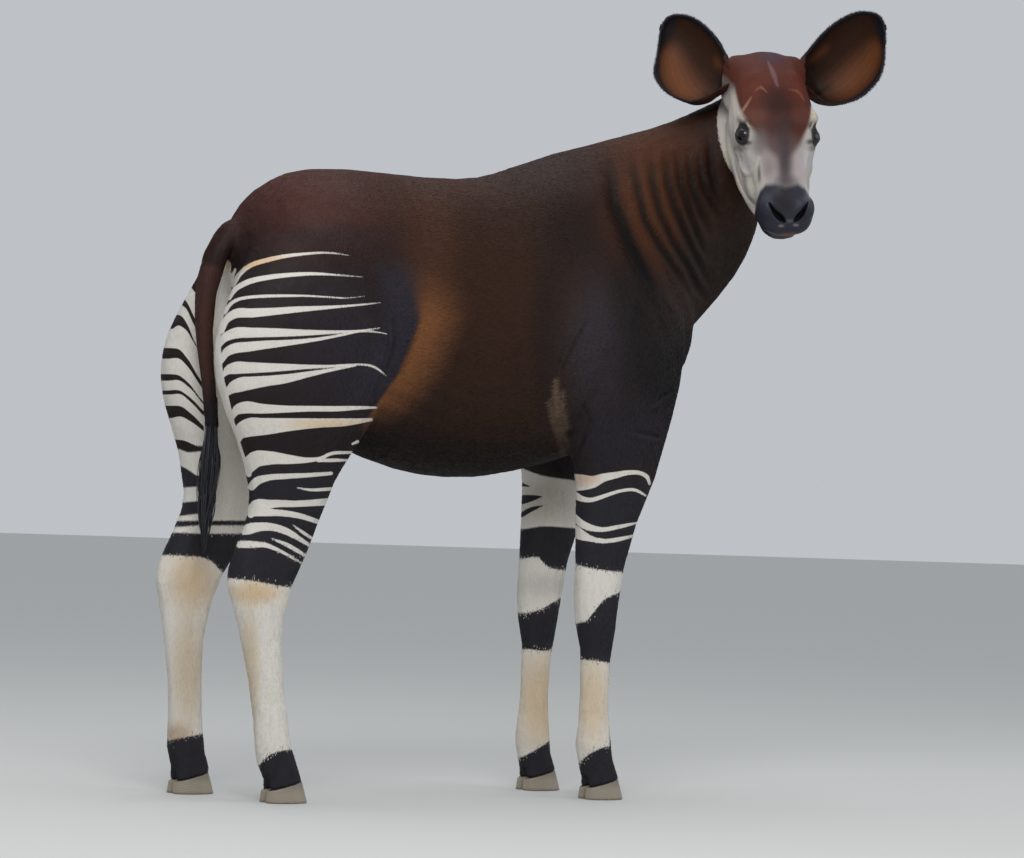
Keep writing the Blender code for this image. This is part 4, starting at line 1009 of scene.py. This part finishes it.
def scatter(points, faces, normals, gap, chance):
    """Random places on triangles, about gap apart: place and normal of each."""
    corner = points[faces]
    area = np.linalg.norm(np.cross(corner[:, 1] - corner[:, 0], corner[:, 2] - corner[:, 0]), axis=1) / 2
    wanted = area / (gap * gap) * 2.6
    count = np.floor(wanted + chance.random(len(wanted))).astype(int)
    pick = np.repeat(np.arange(len(faces)), count)
    a, b = chance.random((2, len(pick)))
    flip = a + b > 1
    a[flip], b[flip] = 1 - a[flip], 1 - b[flip]
    weight = np.stack([1 - a - b, a, b], axis=1)[..., None]
    place = (points[faces[pick]] * weight).sum(axis=1)
    normal = (normals[faces[pick]] * weight).sum(axis=1)
    normal /= np.maximum(np.linalg.norm(normal, axis=1, keepdims=True), 1e-6)
    cell = np.floor(place / (gap * 1.22)).astype(np.int64)
    key = (cell[:, 0] * 73856093) ^ (cell[:, 1] * 19349663) ^ (cell[:, 2] * 83492791)
    _, first = np.unique(key, return_index=True)
    return place[first], normal[first], pick[first]


def tufts(name, place, normal, direction, length, width, colour, chart, chance, lift, marks=None):
    """One mesh of closed flat tufts, each a ridge of hair that rises a little to its tip. With marks, a
    function of places and normals, each tuft changes colour where a marking's edge crosses it."""
    count = len(place)
    turn = chance.normal(0.0, 0.16, count)[:, None]
    side = np.cross(normal, direction)
    direction = direction * np.cos(turn) + side * np.sin(turn)
    side = np.cross(normal, direction)
    length = (length * chance.uniform(0.7, 1.25, count))[:, None]
    width = (width * chance.uniform(0.75, 1.25, count))[:, None]
    rise = (lift * chance.uniform(0.4, 1.3, count))[:, None]
    root = place - normal * 0.0004
    corners = np.stack(
        [
            root + side * width / 2,
            root - side * width / 2,
            place + direction * length * 0.38 + normal * (rise * 0.75 + 0.0002),
            place + direction * length + normal * rise,
        ],
        axis=1,
    )
    start = (np.arange(count) * 4)[:, None, None]
    corner_order = np.array([[0, 2, 3], [2, 1, 3], [0, 1, 2], [0, 3, 1]])
    faces = (corner_order[None] + start).reshape(-1, 3)
    mesh = bpy.data.meshes.new(name)
    mesh.vertices.add(count * 4)
    mesh.loops.add(count * 12)
    mesh.polygons.add(count * 4)
    mesh.vertices.foreach_set("co", corners.astype(np.float32).ravel())
    mesh.loops.foreach_set("vertex_index", faces.astype(np.int32).ravel())
    mesh.polygons.foreach_set("loop_start", np.arange(count * 4, dtype=np.int32) * 3)
    mesh.polygons.foreach_set("loop_total", np.full(count * 4, 3, np.int32))
    mesh.update(calc_edges=True)
    shade = np.array([0.86, 0.86, 1.0, 1.10])[None, :, None]
    own = (1 + chance.normal(0.0, 0.09, count)).clip(0.75, 1.3)[:, None, None]
    add_colour(mesh, "paint", (colour[:, None] * shade * own).reshape(-1, 3))
    if marks:
        pale, edge_of = marks
        add_colour(mesh, "pale", (pale[:, None] * shade * (1 + (own - 1) * 0.5)).reshape(-1, 3))
        stray = chance.normal(0.0, 0.14, count) * (1 + 6.0 * ramp(0.66, 0.52, place[:, 2]))
        at_root = edge_of(place, normal) + stray
        at_ridge = edge_of(place + direction * length * 0.38, normal) + stray
        at_tip = edge_of(place + direction * length, normal) + stray
        add_value(mesh, "edge", np.stack([at_root, at_root, at_ridge, at_tip], axis=1).ravel())
    patch = np.array([[-1, -1], [1, -1], [0, 0], [0, 1]]) * 0.0015
    corner_chart = (chart[:, None] + patch[None]).reshape(-1, 2)
    layer = mesh.uv_layers.new(name="OFBake")
    layer.data.foreach_set("uv", corner_chart[faces.ravel()].astype(np.float32).ravel())
    tilt = chance.normal(0.0, 0.10, (count, 1))
    bend = np.stack(
        [
            normal + side * (0.30 + tilt),
            normal - side * (0.30 - tilt),
            normal + side * tilt,
            normal + side * tilt + direction * 0.15,
        ],
        axis=1,
    ).reshape(-1, 3)
    bend /= np.linalg.norm(bend, axis=1, keepdims=True)
    mesh.polygons.foreach_set("use_smooth", np.ones(count * 4, bool))
    mesh.normals_split_custom_set_from_vertices(bend.astype(np.float32))
    return new_object(name, mesh)


def chart_of(points, part):
    """Places on an unwrap of the part's own shape: round it, and along it."""
    if part == "head":
        local = in_head(points)
        round_it = np.arctan2(local[:, 1], local[:, 2] + 0.02)
        along = (local[:, 0] + 0.15) / 0.70
    elif part.startswith("leg") or part == "tail":
        middle = points[:, :2].mean(axis=0)
        round_it = np.arctan2(points[:, 1] - middle[1], points[:, 0] - middle[0])
        along = (points[:, 2] - points[:, 2].min()) / np.ptp(points[:, 2])
    else:
        round_it = np.arctan2(points[:, 1], points[:, 2] - 1.12)
        along = (points[:, 0] - points[:, 0].min()) / np.ptp(points[:, 0])
    chart = np.stack([round_it / (2 * math.pi) + 0.5, along], axis=1)
    return 0.01 + 0.98 * np.clip(chart, 0, 1)


def marks_on(kind):
    return kind.startswith(("haunch", "leg", "torso"))


def grow_coat(points, faces, normals, parts):
    """Tufts over the whole skin, in one piece for each part of the body."""
    chance = np.random.default_rng(11)
    middle = points[faces].mean(axis=1)
    local = in_head(middle)
    where = on_picture(middle)
    bare = (parts == "head") & ((local[:, 0] > 0.37) & (muzzle_edge(where) > -1) | (local[:, 0] > 0.415))
    for side in (1, -1):
        along, over, depth = eye_slit_place(local, side)
        bare |= (slit_ratio(along, over) < 1.35) & (depth > 0) & (parts == "head")
    kinds = parts.astype(object)
    torso = parts == "torso"
    kinds[torso & (middle[:, 0] < -0.36)] = "haunch"
    kinds[torso & (middle[:, 0] >= -0.36) & (middle[:, 1] < 0)] = "torso_right"
    kinds[torso & (middle[:, 0] >= -0.36) & (middle[:, 1] >= 0)] = "torso_left"
    kinds[(kinds == "haunch") & (middle[:, 1] < 0)] = "haunch_right"
    kinds[(kinds == "haunch") & (middle[:, 1] >= 0)] = "haunch_left"
    made = []
    for kind in sorted(set(kinds)):
        chosen = (kinds == kind) & ~bare
        gap, length, width = COAT[kind.split("_")[0]]
        place, normal, pick = scatter(points, faces[chosen], normals, gap, chance)
        part = np.full(len(place), "torso" if kind.split("_")[0] in ("torso", "haunch") else kind)
        direction = lie(place, normal, part)
        face = kind == "head"
        colour = face_paint(place, normal) if face else body_paint(place, normal, part)
        marks = None
        if marks_on(kind):
            marks = pale_paint(place, part), lambda where, normals, part=part: white_edge(where, normals, part)
        size = np.full(len(place), length)
        if marks_on(kind):
            size *= 1 - 0.42 * ramp(5.0, 2.5, np.abs(white_edge(place, normal, part)))
        if kind == "head":
            far = in_head(place)[:, 0]
            size *= 1 - 0.35 * ramp(0.25, 0.38, far)
        coat = tufts(
            "coat_" + kind, place, normal, direction, size, np.full(len(place), width), colour,
            chart_of(place, part[0]), chance, 0.0005 if face else TUFT_LIFT, marks,
        )
        made.append(coat)
    return made


def spread(rows, step):
    """Rows of numbers through a smooth curve, about step apart along their first three columns."""
    rows = np.asarray(rows, float)
    gaps = np.linalg.norm(np.diff(rows[:, :3], axis=0), axis=1)
    at = np.concatenate([[0.0], np.cumsum(gaps)])
    slope = np.gradient(rows, at, axis=0)
    fine = np.linspace(0.0, at[-1], max(2, round(at[-1] / step)) + 1)
    which = np.clip(np.searchsorted(at, fine, side="right") - 1, 0, len(at) - 2)
    width = (at[which + 1] - at[which])[:, None]
    t = (fine - at[which])[:, None] / width
    before, after = rows[which], rows[which + 1]
    leave, arrive = slope[which] * width, slope[which + 1] * width
    return (
        (2 * t**3 - 3 * t**2 + 1) * before
        + (t**3 - 2 * t**2 + t) * leave
        + (3 * t**2 - 2 * t**3) * after
        + (t**3 - t**2) * arrive
    )


def ear_place(name, t):
    """A point on the ear's middle line, with the axes along it, to its lower edge and out of its cup."""
    side = 1 if name == "ear_left" else -1
    tip, along, facing = (Vector(v) for v in EARS[name])
    root, out = on_side(EAR_ROOT, side), on_side(EAR_ROOT_OUT, side).normalized()
    reach = (tip - root).length
    leave, arrive = out * reach, along.normalized() * reach
    point = root * (2 * t**3 - 3 * t**2 + 1) + leave * (t**3 - 2 * t**2 + t)
    point += tip * (3 * t**2 - 2 * t**3) + arrive * (t**3 - t**2)
    slope = (tip - root) * (6 * t - 6 * t**2)
    slope += leave * (3 * t**2 - 4 * t + 1) + arrive * (3 * t**2 - 2 * t)
    slope.normalize()
    facing = (facing - slope * facing.dot(slope)).normalized()
    lower = facing.cross(slope) * -side
    turn = HEAD.to_3x3()
    return HEAD @ point, turn @ slope, turn @ lower, turn @ facing


def build_ear(name):
    """The thin cup of an ear, with its share along, its turn across and its inside marked by point."""
    table = [(t * EAR_LENGTH, wide / 2, 0, arc, mid, half) for t, arc, wide, mid, half in EAR_ROWS]
    steps = 56
    rings, shares, turns, insides = [], [], [], []
    for t, reach, _, arc, middle, half in spread(table, 0.0035):
        share = t / EAR_LENGTH
        foot, _, lower, facing = ear_place(name, share * EAR_BARE)
        angle = math.radians(arc) / 2
        wide = min(angle, math.pi / 2)
        radius = reach * (1 - (1 - EAR_BARE) * 1.6 * ramp(0.0, 0.3, share)) / math.sin(wide)
        lean = radius * math.cos(wide) - 0.012 * math.sin(math.pi * min(1.0, max(0.0, share)))
        centre = np.array(foot + lower * middle + facing * lean)
        turn = np.linspace(-angle, angle, steps)[:, None]
        spoke = np.sin(turn) * np.array(lower) - np.cos(turn) * np.array(facing)
        edge = half * (0.35 + 0.65 * np.sqrt(1 - (turn / angle) ** 4))
        inner, outer = centre + (radius - edge) * spoke, centre + (radius + edge) * spoke
        rings.append(np.concatenate([inner, outer[::-1]]))
        shares.extend([share] * steps * 2)
        across_it = np.linspace(-1, 1, steps)
        turns.extend([*across_it, *across_it[::-1]])
        insides.extend([1.0] * steps + [0.0] * steps)
    rings = np.array(rings)
    count, sides = rings.shape[:2]
    faces = []
    for i in range(count - 1):
        for j in range(sides):
            k = (j + 1) % sides
            faces.append((i * sides + j, i * sides + k, (i + 1) * sides + k, (i + 1) * sides + j))
    faces.append(tuple(range((count - 1) * sides, count * sides)))
    mesh = bpy.data.meshes.new(name + "_skin")
    mesh.from_pydata(rings.reshape(-1, 3).tolist(), [], faces)
    mesh.update()
    shape = bmesh.new()
    shape.from_mesh(mesh)
    bmesh.ops.recalc_face_normals(shape, faces=shape.faces)
    shape.to_mesh(mesh)
    shape.free()
    return new_object(name + "_skin", mesh), np.array(shares), np.array(turns), np.array(insides)


def ear_paint(share, turn, inside):
    """Red-brown inside with a dark middle and root, dark rims, and a brown back."""
    rim = np.maximum(ramp(0.76, 0.90, np.abs(turn)) * ramp(0.10, 0.30, share), ramp(0.87, 0.95, share))
    root = ramp(0.46, 0.10, share)
    streak = 0.5 + 0.5 * np.sin(turn * 31 + 2.0 * np.sin(share * 4)) * np.sin(turn * 73 + share * 5)
    slit = np.exp(-(((turn - 0.34 + 0.5 * share) / 0.05) ** 2)) * ramp(0.06, 0.12, share) * ramp(0.36, 0.22, share)
    inner = np.tile(linear(EAR_MIDDLE), (len(share), 1))
    glow = np.exp(-(((turn - 0.42) / 0.44) ** 2)) * ramp(0.10, 0.34, share) * ramp(1.02, 0.80, share)
    glow = np.maximum(glow, 0.6 * np.exp(-(((turn + 0.55) / 0.16) ** 2)) * ramp(0.10, 0.2, share) * ramp(0.6, 0.4, share))
    inner += np.maximum(glow, 0.18)[:, None] * (linear(EAR_INSIDE) - inner)
    inner += (0.85 * root)[:, None] * (linear((26, 17, 14)) - inner)
    inner *= 1 - (0.22 * streak * (1 - 0.5 * root))[:, None]
    inner += (0.9 * slit)[:, None] * (linear((10, 8, 8)) - inner)
    paint = np.where((inside > 0.5)[:, None], inner, linear(EAR_OUTSIDE))
    return paint + rim[:, None] * (linear(EAR_RIM) - paint)


def ear_coat(name, skin, share, turn, inside):
    """Short hair on both faces of an ear, and a fringe along its rim."""
    chance = np.random.default_rng(5)
    mesh = skin.data
    points, normals, faces = points_of(mesh), normals_of(mesh), faces_of(mesh)
    faces = faces[share[faces].min(axis=1) > 0.02]
    gap, length, width = COAT["ear"]
    place, normal, pick = scatter(points, faces, normals, gap, chance)
    corner = faces[pick]
    own_share, own_turn = share[corner].mean(axis=1), turn[corner].mean(axis=1)
    own_inside = (inside[corner].mean(axis=1) > 0.5).astype(float)
    axes = {}
    along = np.empty_like(place)
    lower = np.empty_like(place)
    for step in range(0, 101):
        axes[step] = ear_place(name, step / 100)
    steps = np.clip(np.round(own_share * 100), 0, 100).astype(int)
    along = np.array([axes[s][1] for s in steps])
    lower = np.array([axes[s][2] for s in steps])
    outward = along + lower * (own_turn * (0.5 + 0.9 * np.abs(own_turn)))[:, None]
    direction = across(outward, normal)
    rim = np.maximum(ramp(0.86, 0.96, np.abs(own_turn)), ramp(0.94, 0.985, own_share))
    size = length * (1 - 0.35 * rim) * (1 - 0.3 * own_inside * (1 - rim))
    colour = ear_paint(own_share, own_turn, own_inside)
    chart = np.stack([0.25 + 0.22 * own_turn + 0.5 * own_inside, 0.04 + 0.92 * np.clip(own_share, 0, 1)], axis=1)
    hairs = tufts(
        name + "_hair", place, normal, direction, size, np.full(len(place), width), colour, chart, chance,
        0.0007,
    )
    return hairs, ear_fringe(name, points, share, turn, inside, chance)


def ear_fringe(name, points, share, turn, inside, chance):
    """A thick fringe of short dark hair that stands out from the rim of an ear."""
    rim = np.flatnonzero((np.abs(turn) > 0.999) & (inside > 0.5) & (share > 0.10))
    rim = np.concatenate([rim, np.flatnonzero((share > 0.999) & (inside > 0.5))])
    pick = chance.choice(rim, EAR_FRINGE)
    axes = [ear_place(name, min(1.0, s) * EAR_BARE) for s in share[pick]]
    along, lower, facing = (np.array([a[k] for a in axes]) for k in (1, 2, 3))
    own = turn[pick][:, None]
    end = ramp(0.72, 1.0, share[pick])[:, None]
    direction = lower * own * (1.15 - 0.75 * end) + along * (0.30 + 1.0 * end)
    direction += chance.normal(0.0, 0.16, direction.shape) + facing * 0.18
    direction /= np.linalg.norm(direction, axis=1, keepdims=True)
    normal = facing - direction * (facing * direction).sum(axis=1, keepdims=True)
    normal /= np.linalg.norm(normal, axis=1, keepdims=True)
    jitter = chance.uniform(-0.0018, 0.0018, (len(pick), 1))
    place = points[pick] - direction * 0.0035 + along * jitter + facing * chance.uniform(-0.001, 0.001, (len(pick), 1))
    colour = linear(EAR_RIM) * (1 + 0.5 * chance.random((len(pick), 1)) ** 3)
    chart = np.stack([0.5 + 0.48 * turn[pick], 0.04 + 0.92 * np.clip(share[pick], 0, 1)], axis=1)
    size = np.full(len(pick), 0.0082) * (1 - 0.35 * ramp(0.35, 0.15, share[pick]) - 0.3 * ramp(0.8, 1.0, share[pick]))
    return tufts(name + "_fringe", place, normal, direction, size, np.full(len(pick), 0.0016), colour, chart,
                 chance, 0.0004)


def painted(name, roughness, grain=0.0, depth=0.0, marked=False, shine=0.14):
    """A surface painted by the colours stored on its points, with a fine grain."""
    material = bpy.data.materials.new(name)
    material.use_nodes = True
    tree = material.node_tree
    surface = tree.nodes["Principled BSDF"]
    surface.inputs["Roughness"].default_value = roughness
    surface.inputs["Specular IOR Level"].default_value = shine
    paint = tree.nodes.new("ShaderNodeVertexColor")
    paint.layer_name = "paint"
    tree.links.new(paint.outputs["Color"], surface.inputs["Base Color"])
    if marked:
        pale = tree.nodes.new("ShaderNodeVertexColor")
        pale.layer_name = "pale"
        edge = tree.nodes.new("ShaderNodeAttribute")
        edge.attribute_name = "edge"
        sharp = tree.nodes.new("ShaderNodeMapRange")
        sharp.inputs["From Min"].default_value = -0.35
        sharp.inputs["From Max"].default_value = 0.35
        tree.links.new(edge.outputs["Fac"], sharp.inputs["Value"])
        mix = tree.nodes.new("ShaderNodeMix")
        mix.data_type = "RGBA"
        tree.links.new(sharp.outputs["Result"], mix.inputs[0])
        tree.links.new(paint.outputs["Color"], mix.inputs[6])
        tree.links.new(pale.outputs["Color"], mix.inputs[7])
        tree.links.new(mix.outputs[2], surface.inputs["Base Color"])
    if grain:
        place = tree.nodes.new("ShaderNodeTexCoord")
        noise = tree.nodes.new("ShaderNodeTexNoise")
        noise.inputs["Scale"].default_value = grain
        noise.inputs["Detail"].default_value = 3.0
        tree.links.new(place.outputs["Object"], noise.inputs["Vector"])
        bump = tree.nodes.new("ShaderNodeBump")
        bump.inputs["Strength"].default_value = 0.6
        bump.inputs["Distance"].default_value = depth
        tree.links.new(noise.outputs["Fac"], bump.inputs["Height"])
        tree.links.new(bump.outputs["Normal"], surface.inputs["Normal"])
    return material


def skin_material():
    """The skin: dark and pale coats parted by a sharp edge, and a wetter muzzle."""
    material = painted("skin", 0.55, 700.0, 0.0008, marked=True)
    tree = material.node_tree
    surface = tree.nodes["Principled BSDF"]
    wet = tree.nodes.new("ShaderNodeAttribute")
    wet.attribute_name = "wet"
    rough = tree.nodes.new("ShaderNodeMapRange")
    rough.inputs["To Min"].default_value = 0.58
    rough.inputs["To Max"].default_value = 0.34
    tree.links.new(wet.outputs["Fac"], rough.inputs["Value"])
    tree.links.new(rough.outputs["Result"], surface.inputs["Roughness"])
    return material


def eye_material():
    """A dark brown eye with a black pupil, by distance from the middle of the front."""
    material = bpy.data.materials.new("eye")
    material.use_nodes = True
    tree = material.node_tree
    surface = tree.nodes["Principled BSDF"]
    surface.inputs["Roughness"].default_value = 0.08
    surface.inputs["Specular IOR Level"].default_value = 0.4
    paint = tree.nodes.new("ShaderNodeVertexColor")
    paint.layer_name = "paint"
    tree.links.new(paint.outputs["Color"], surface.inputs["Base Color"])
    return material


def build_eye(name, side):
    shape = bmesh.new()
    out = on_side(EYE_OUT, side)
    turn = out.to_track_quat("Z", "Y").to_matrix().to_4x4()
    place = HEAD @ Matrix.Translation(on_side(EYE_CENTRE, side)) @ turn
    bmesh.ops.create_uvsphere(shape, u_segments=64, v_segments=48, radius=EYE_RADIUS - 0.0002, matrix=place)
    mesh = bpy.data.meshes.new(name + "_ball")
    shape.to_mesh(mesh)
    shape.free()
    mesh.shade_smooth()
    points = points_of(mesh)
    local = np.array([place.inverted() @ Vector(p) for p in points])
    away = np.hypot(local[:, 0], local[:, 1] * 1.25) + (local[:, 2] < 0) * 1.0
    iris = ramp(0.0150, 0.0135, away)[:, None]
    pupil = ramp(0.0082, 0.0070, away)[:, None]
    colour = np.tile(linear((16, 12, 11)), (len(points), 1))
    colour += iris * (linear((20, 13, 10)) - colour)
    colour += pupil * (linear((6, 6, 8)) - colour)
    add_colour(mesh, "paint", colour)
    return new_object(name + "_ball", mesh)


def build_hoof(node):
    """A hoof rounded off from its solid, flat below, with horn in growth rings."""
    shape = welded(nodes[node].data)
    mesh = bpy.data.meshes.new(node + "_horn")
    shape.to_mesh(mesh)
    shape.free()
    made = remeshed(node + "_horn", mesh, 0.0024)
    points = points_of(made.data)
    points = soften(points, edges_of(made.data), 6, np.ones(len(points)))
    low = points[:, 2].min()
    points[:, 2] = np.where(points[:, 2] < 0.0012, 0.0, points[:, 2])
    box_low, box_high = (np.array(c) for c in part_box(node))
    points = np.clip(points, box_low, box_high)
    put_points(made.data, points)
    made.data.shade_smooth()
    height = points[:, 2]
    ring = 0.5 + 0.5 * np.sin(height * 1500 + 3 * np.sin(points[:, 0] * 90))
    colour = np.tile(linear((150, 140, 124)), (len(points), 1))
    colour *= (0.80 + 0.25 * ring)[:, None]
    colour += ramp(0.006, 0.0, height)[:, None] * 0.5 * (linear((96, 84, 70)) - colour)
    colour += ramp(0.020, 0.045, height)[:, None] * 0.5 * (linear((84, 78, 72)) - colour)
    add_colour(made.data, "paint", colour)
    return made


def tail_middle(heights):
    """Middle and half width of the solid tail tuft at some heights."""
    points = points_of(nodes["tail_tuft"].data) - np.array(SHIFT)
    middle, half = [], []
    for height in heights:
        near = points[np.abs(points[:, 2] - height) < 0.02]
        middle.append((near.min(axis=0) + near.max(axis=0)) / 2)
        half.append(np.ptp(near, axis=0) / 2)
    return np.array(middle), np.array(half)


def build_tail_hair():
    """Long glossy locks of the tail, thinner than those of the solid and as dense."""
    chance = np.random.default_rng(3)
    heights = np.linspace(0.820, 0.545, 12)
    middle, half = tail_middle(heights)
    half = np.minimum(half, 0.030) + 0.0015
    points, faces, colours, charts = [], [], [], []
    for number in range(TAIL_LOCKS):
        share = (number + 0.5) / TAIL_LOCKS
        top = 0.900 - 0.24 * share**1.2
        end = 0.545 + 0.13 * chance.random() ** 1.2
        angle = 2.4 * number + chance.uniform(-0.3, 0.3)
        reach = chance.uniform(0.25, 0.95)
        swing = chance.uniform(-0.6, 0.6)
        wide = chance.uniform(0.0012, 0.0026)
        start = len(points)
        steps = 10
        for k in range(steps + 1):
            t = k / steps
            height = top + (end - top) * t
            centre = np.array([np.interp(-height, -heights, middle[:, i]) for i in range(3)])
            size = np.array([np.interp(-height, -heights, half[:, i]) for i in range(2)])
            turn = angle + swing * t
            out = np.array([math.cos(turn), math.sin(turn), 0.0])
            flat = np.array([-math.sin(turn), math.cos(turn), 0.0])
            away = reach * (0.60 + 0.60 * math.sin(math.pi * min(1.0, 0.15 + 0.85 * t)))
            spot = np.array([centre[0], centre[1], height])
            spot[:2] += out[:2] * np.maximum(size - 0.0015, 0.002) * away
            w = wide * (0.9 + 0.5 * t - 1.3 * t * t) + 0.0001
            thick = w * 0.45
            for a, b in ((1, 0), (0, 1), (-1, 0), (0, -1)):
                points.append(spot + flat * w * a + out * thick * b)
                # Each lock is a little lighter on its outer face and darker on its inner face: painted light and
                # shade.
                colours.append(1 + 0.25 * math.sin(number * 5.1) + 0.10 * b)
                charts.append((0.02 + 0.96 * (angle / (2 * math.pi) % 1) + a * 0.0015,
                               0.02 + 0.96 * share + (t - 0.5) * 0.003))
        for k in range(steps):
            for j in range(4):
                a, b = start + k * 4 + j, start + k * 4 + (j + 1) % 4
                faces.append((a, b, b + 4, a + 4))
        faces.append(tuple(start + j for j in (3, 2, 1, 0)))
        faces.append(tuple(start + steps * 4 + j for j in range(4)))
    mesh = bpy.data.meshes.new("tail_hair")
    mesh.from_pydata([tuple(p) for p in points], [], faces)
    mesh.update()
    mesh.shade_smooth()
    corners = np.empty(len(mesh.loops), np.int32)
    mesh.loops.foreach_get("vertex_index", corners)
    layer = mesh.uv_layers.new(name="OFBake")
    layer.data.foreach_set("uv", np.array(charts, np.float32)[corners].ravel())
    add_colour(mesh, "paint", linear((32, 32, 40)) * np.array(colours)[:, None])
    return new_object("tail_hair", mesh)


def attach(piece, slot_name, material, *replaced):
    """Puts a finished piece into the row's frame."""
    piece.data.transform(Matrix.Translation(SHIFT))
    piece.data.materials.clear()
    piece.data.materials.append(material)
    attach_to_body(piece, "root")
    if replaced:
        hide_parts(*replaced)


def build_stage():
    mesh = bpy.data.meshes.new("floor")
    mesh.from_pydata([(-40, -40, 0), (40, -40, 0), (40, 40, 0), (-40, 40, 0)], [], [(0, 1, 2, 3)])
    floor = new_object("floor", mesh)
    floor.location.z = -0.0005
    material = bpy.data.materials.new("floor")
    material.use_nodes = True
    surface = material.node_tree.nodes["Principled BSDF"]
    surface.inputs["Base Color"].default_value = (0.62, 0.62, 0.60, 1.0)
    surface.inputs["Roughness"].default_value = 0.8
    mesh.materials.append(material)
    floor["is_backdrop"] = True
    world = bpy.data.worlds.new("studio")
    bpy.context.scene.world = world
    world.use_nodes = True
    background = world.node_tree.nodes["Background"]
    background.inputs[0].default_value = (0.86, 0.90, 0.95, 1.0)
    background.inputs[1].default_value = 0.60
    lamps = (
        ("key", (-2.2, -3.6, 4.2), 2.4, 125.0),
        ("top", (0.0, 0.4, 4.6), 3.2, 40.0),
        ("fill", (3.6, -2.4, 2.0), 2.4, 22.0),
    )
    for name, place, size, power in lamps:
        light = bpy.data.lights.new(name, "AREA")
        light.size = size
        light.energy = power
        lamp = bpy.data.objects.new(name, light)
        bpy.context.scene.collection.objects.link(lamp)
        lamp.location = place
        lamp.rotation_euler = (Vector((0, 0, 0.9)) - Vector(place)).to_track_quat("-Z", "Y").to_euler()


def build_camera():
    data = bpy.data.cameras.new("camera")
    data.sensor_width = 36.0
    data.lens = CAMERA_SPAN / PICTURE[0] * 36.0
    data.clip_end = 150.0
    camera = bpy.data.objects.new("camera", data)
    bpy.context.scene.collection.objects.link(camera)
    turn = Matrix((RIGHT, Vector((0, 0, 1)), -INTO)).transposed()
    pitch = math.atan((CAMERA_LEVEL - PICTURE[1] / 2) / CAMERA_SPAN)
    turn = turn @ Matrix.Rotation(pitch, 3, "X") @ Matrix.Rotation(CAMERA_ROLL, 3, "Z")
    camera.matrix_world = Matrix.Translation(CAMERA + SHIFT) @ turn.to_4x4()
    bpy.context.scene.camera = camera
    bpy.context.scene.view_settings.view_transform = "Standard"


def corners():
    low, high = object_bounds()
    return [list(low), list(high)]


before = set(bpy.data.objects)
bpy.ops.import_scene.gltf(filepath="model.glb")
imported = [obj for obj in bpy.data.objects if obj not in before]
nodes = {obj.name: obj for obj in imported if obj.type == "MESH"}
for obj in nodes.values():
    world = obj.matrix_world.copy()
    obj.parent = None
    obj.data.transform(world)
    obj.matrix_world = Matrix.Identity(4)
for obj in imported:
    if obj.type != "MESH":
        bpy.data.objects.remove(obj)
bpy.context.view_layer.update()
eye_low, eye_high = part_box("eye_left")
SHIFT = (eye_low + eye_high) / 2 - HEAD @ EYE_CENTRE

skin = build_skin()
points, normals = points_of(skin.data), normals_of(skin.data)
tree, owners = joined_solids()
parts = part_names(tree, owners, FLESH, points + np.array(SHIFT))
dark = body_paint(points, normals, parts)
on_face = parts == "head"
dark[on_face] = face_paint(points[on_face], normals[on_face])
add_colour(skin.data, "paint", dark * 0.92)
add_colour(skin.data, "pale", pale_paint(points, parts) * 0.92)
add_value(skin.data, "edge", np.where(on_face, -8.0, white_edge(points, normals, parts)))
wet = ramp(0.0, 2.5, muzzle_edge(on_picture(points))) * ramp(0.36, 0.39, in_head(points)[:, 0]) * on_face
add_value(skin.data, "wet", wet)
skin.data.shade_smooth()

faces = faces_of(skin.data)
face_parts = parts[faces[:, 0]]
coats = grow_coat(points, faces, normals, face_parts)
hair = painted("hair", 0.46)
marked_hair = painted("marked_hair", 0.46, marked=True)
horn = painted("horn", 0.42, 260.0, 0.0006, shine=0.35)
glossy = painted("tail_hair", 0.32, shine=0.45)
attach(skin, "coat_brown", skin_material(), *FLESH)
for coat in coats:
    part = coat.name.removeprefix("coat_")
    slot_name = "face" if part == "head" else "coat_pale" if part.startswith("leg") else "coat_brown"
    marked = "edge" in coat.data.attributes
    attach(coat, slot_name, marked_hair if marked else hair)
for name in EARS:
    cup, share, turn, inside = build_ear(name)
    cup.data.shade_smooth()
    add_colour(cup.data, "paint", ear_paint(share, turn, inside) * 0.9)
    hairs = ear_coat(name, cup, share, turn, inside)
    attach(cup, "ear_hide", painted(name, 0.55, 700.0, 0.0008), name)
    for piece in hairs:
        attach(piece, "ear_hide", hair)
wet_eye = eye_material()
for name, side in (("eye_left", 1), ("eye_right", -1)):
    attach(build_eye(name, side), "eye", wet_eye, name)
for name in sorted(nodes):
    if name.startswith("hoof"):
        hoof = build_hoof(name)
        hoof.data.materials.clear()
        hoof.data.materials.append(horn)
        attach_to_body(hoof, "root")
        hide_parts(name)
attach(build_tail_hair(), "tail_hair", glossy, "tail_tuft")

build_stage()
build_camera()
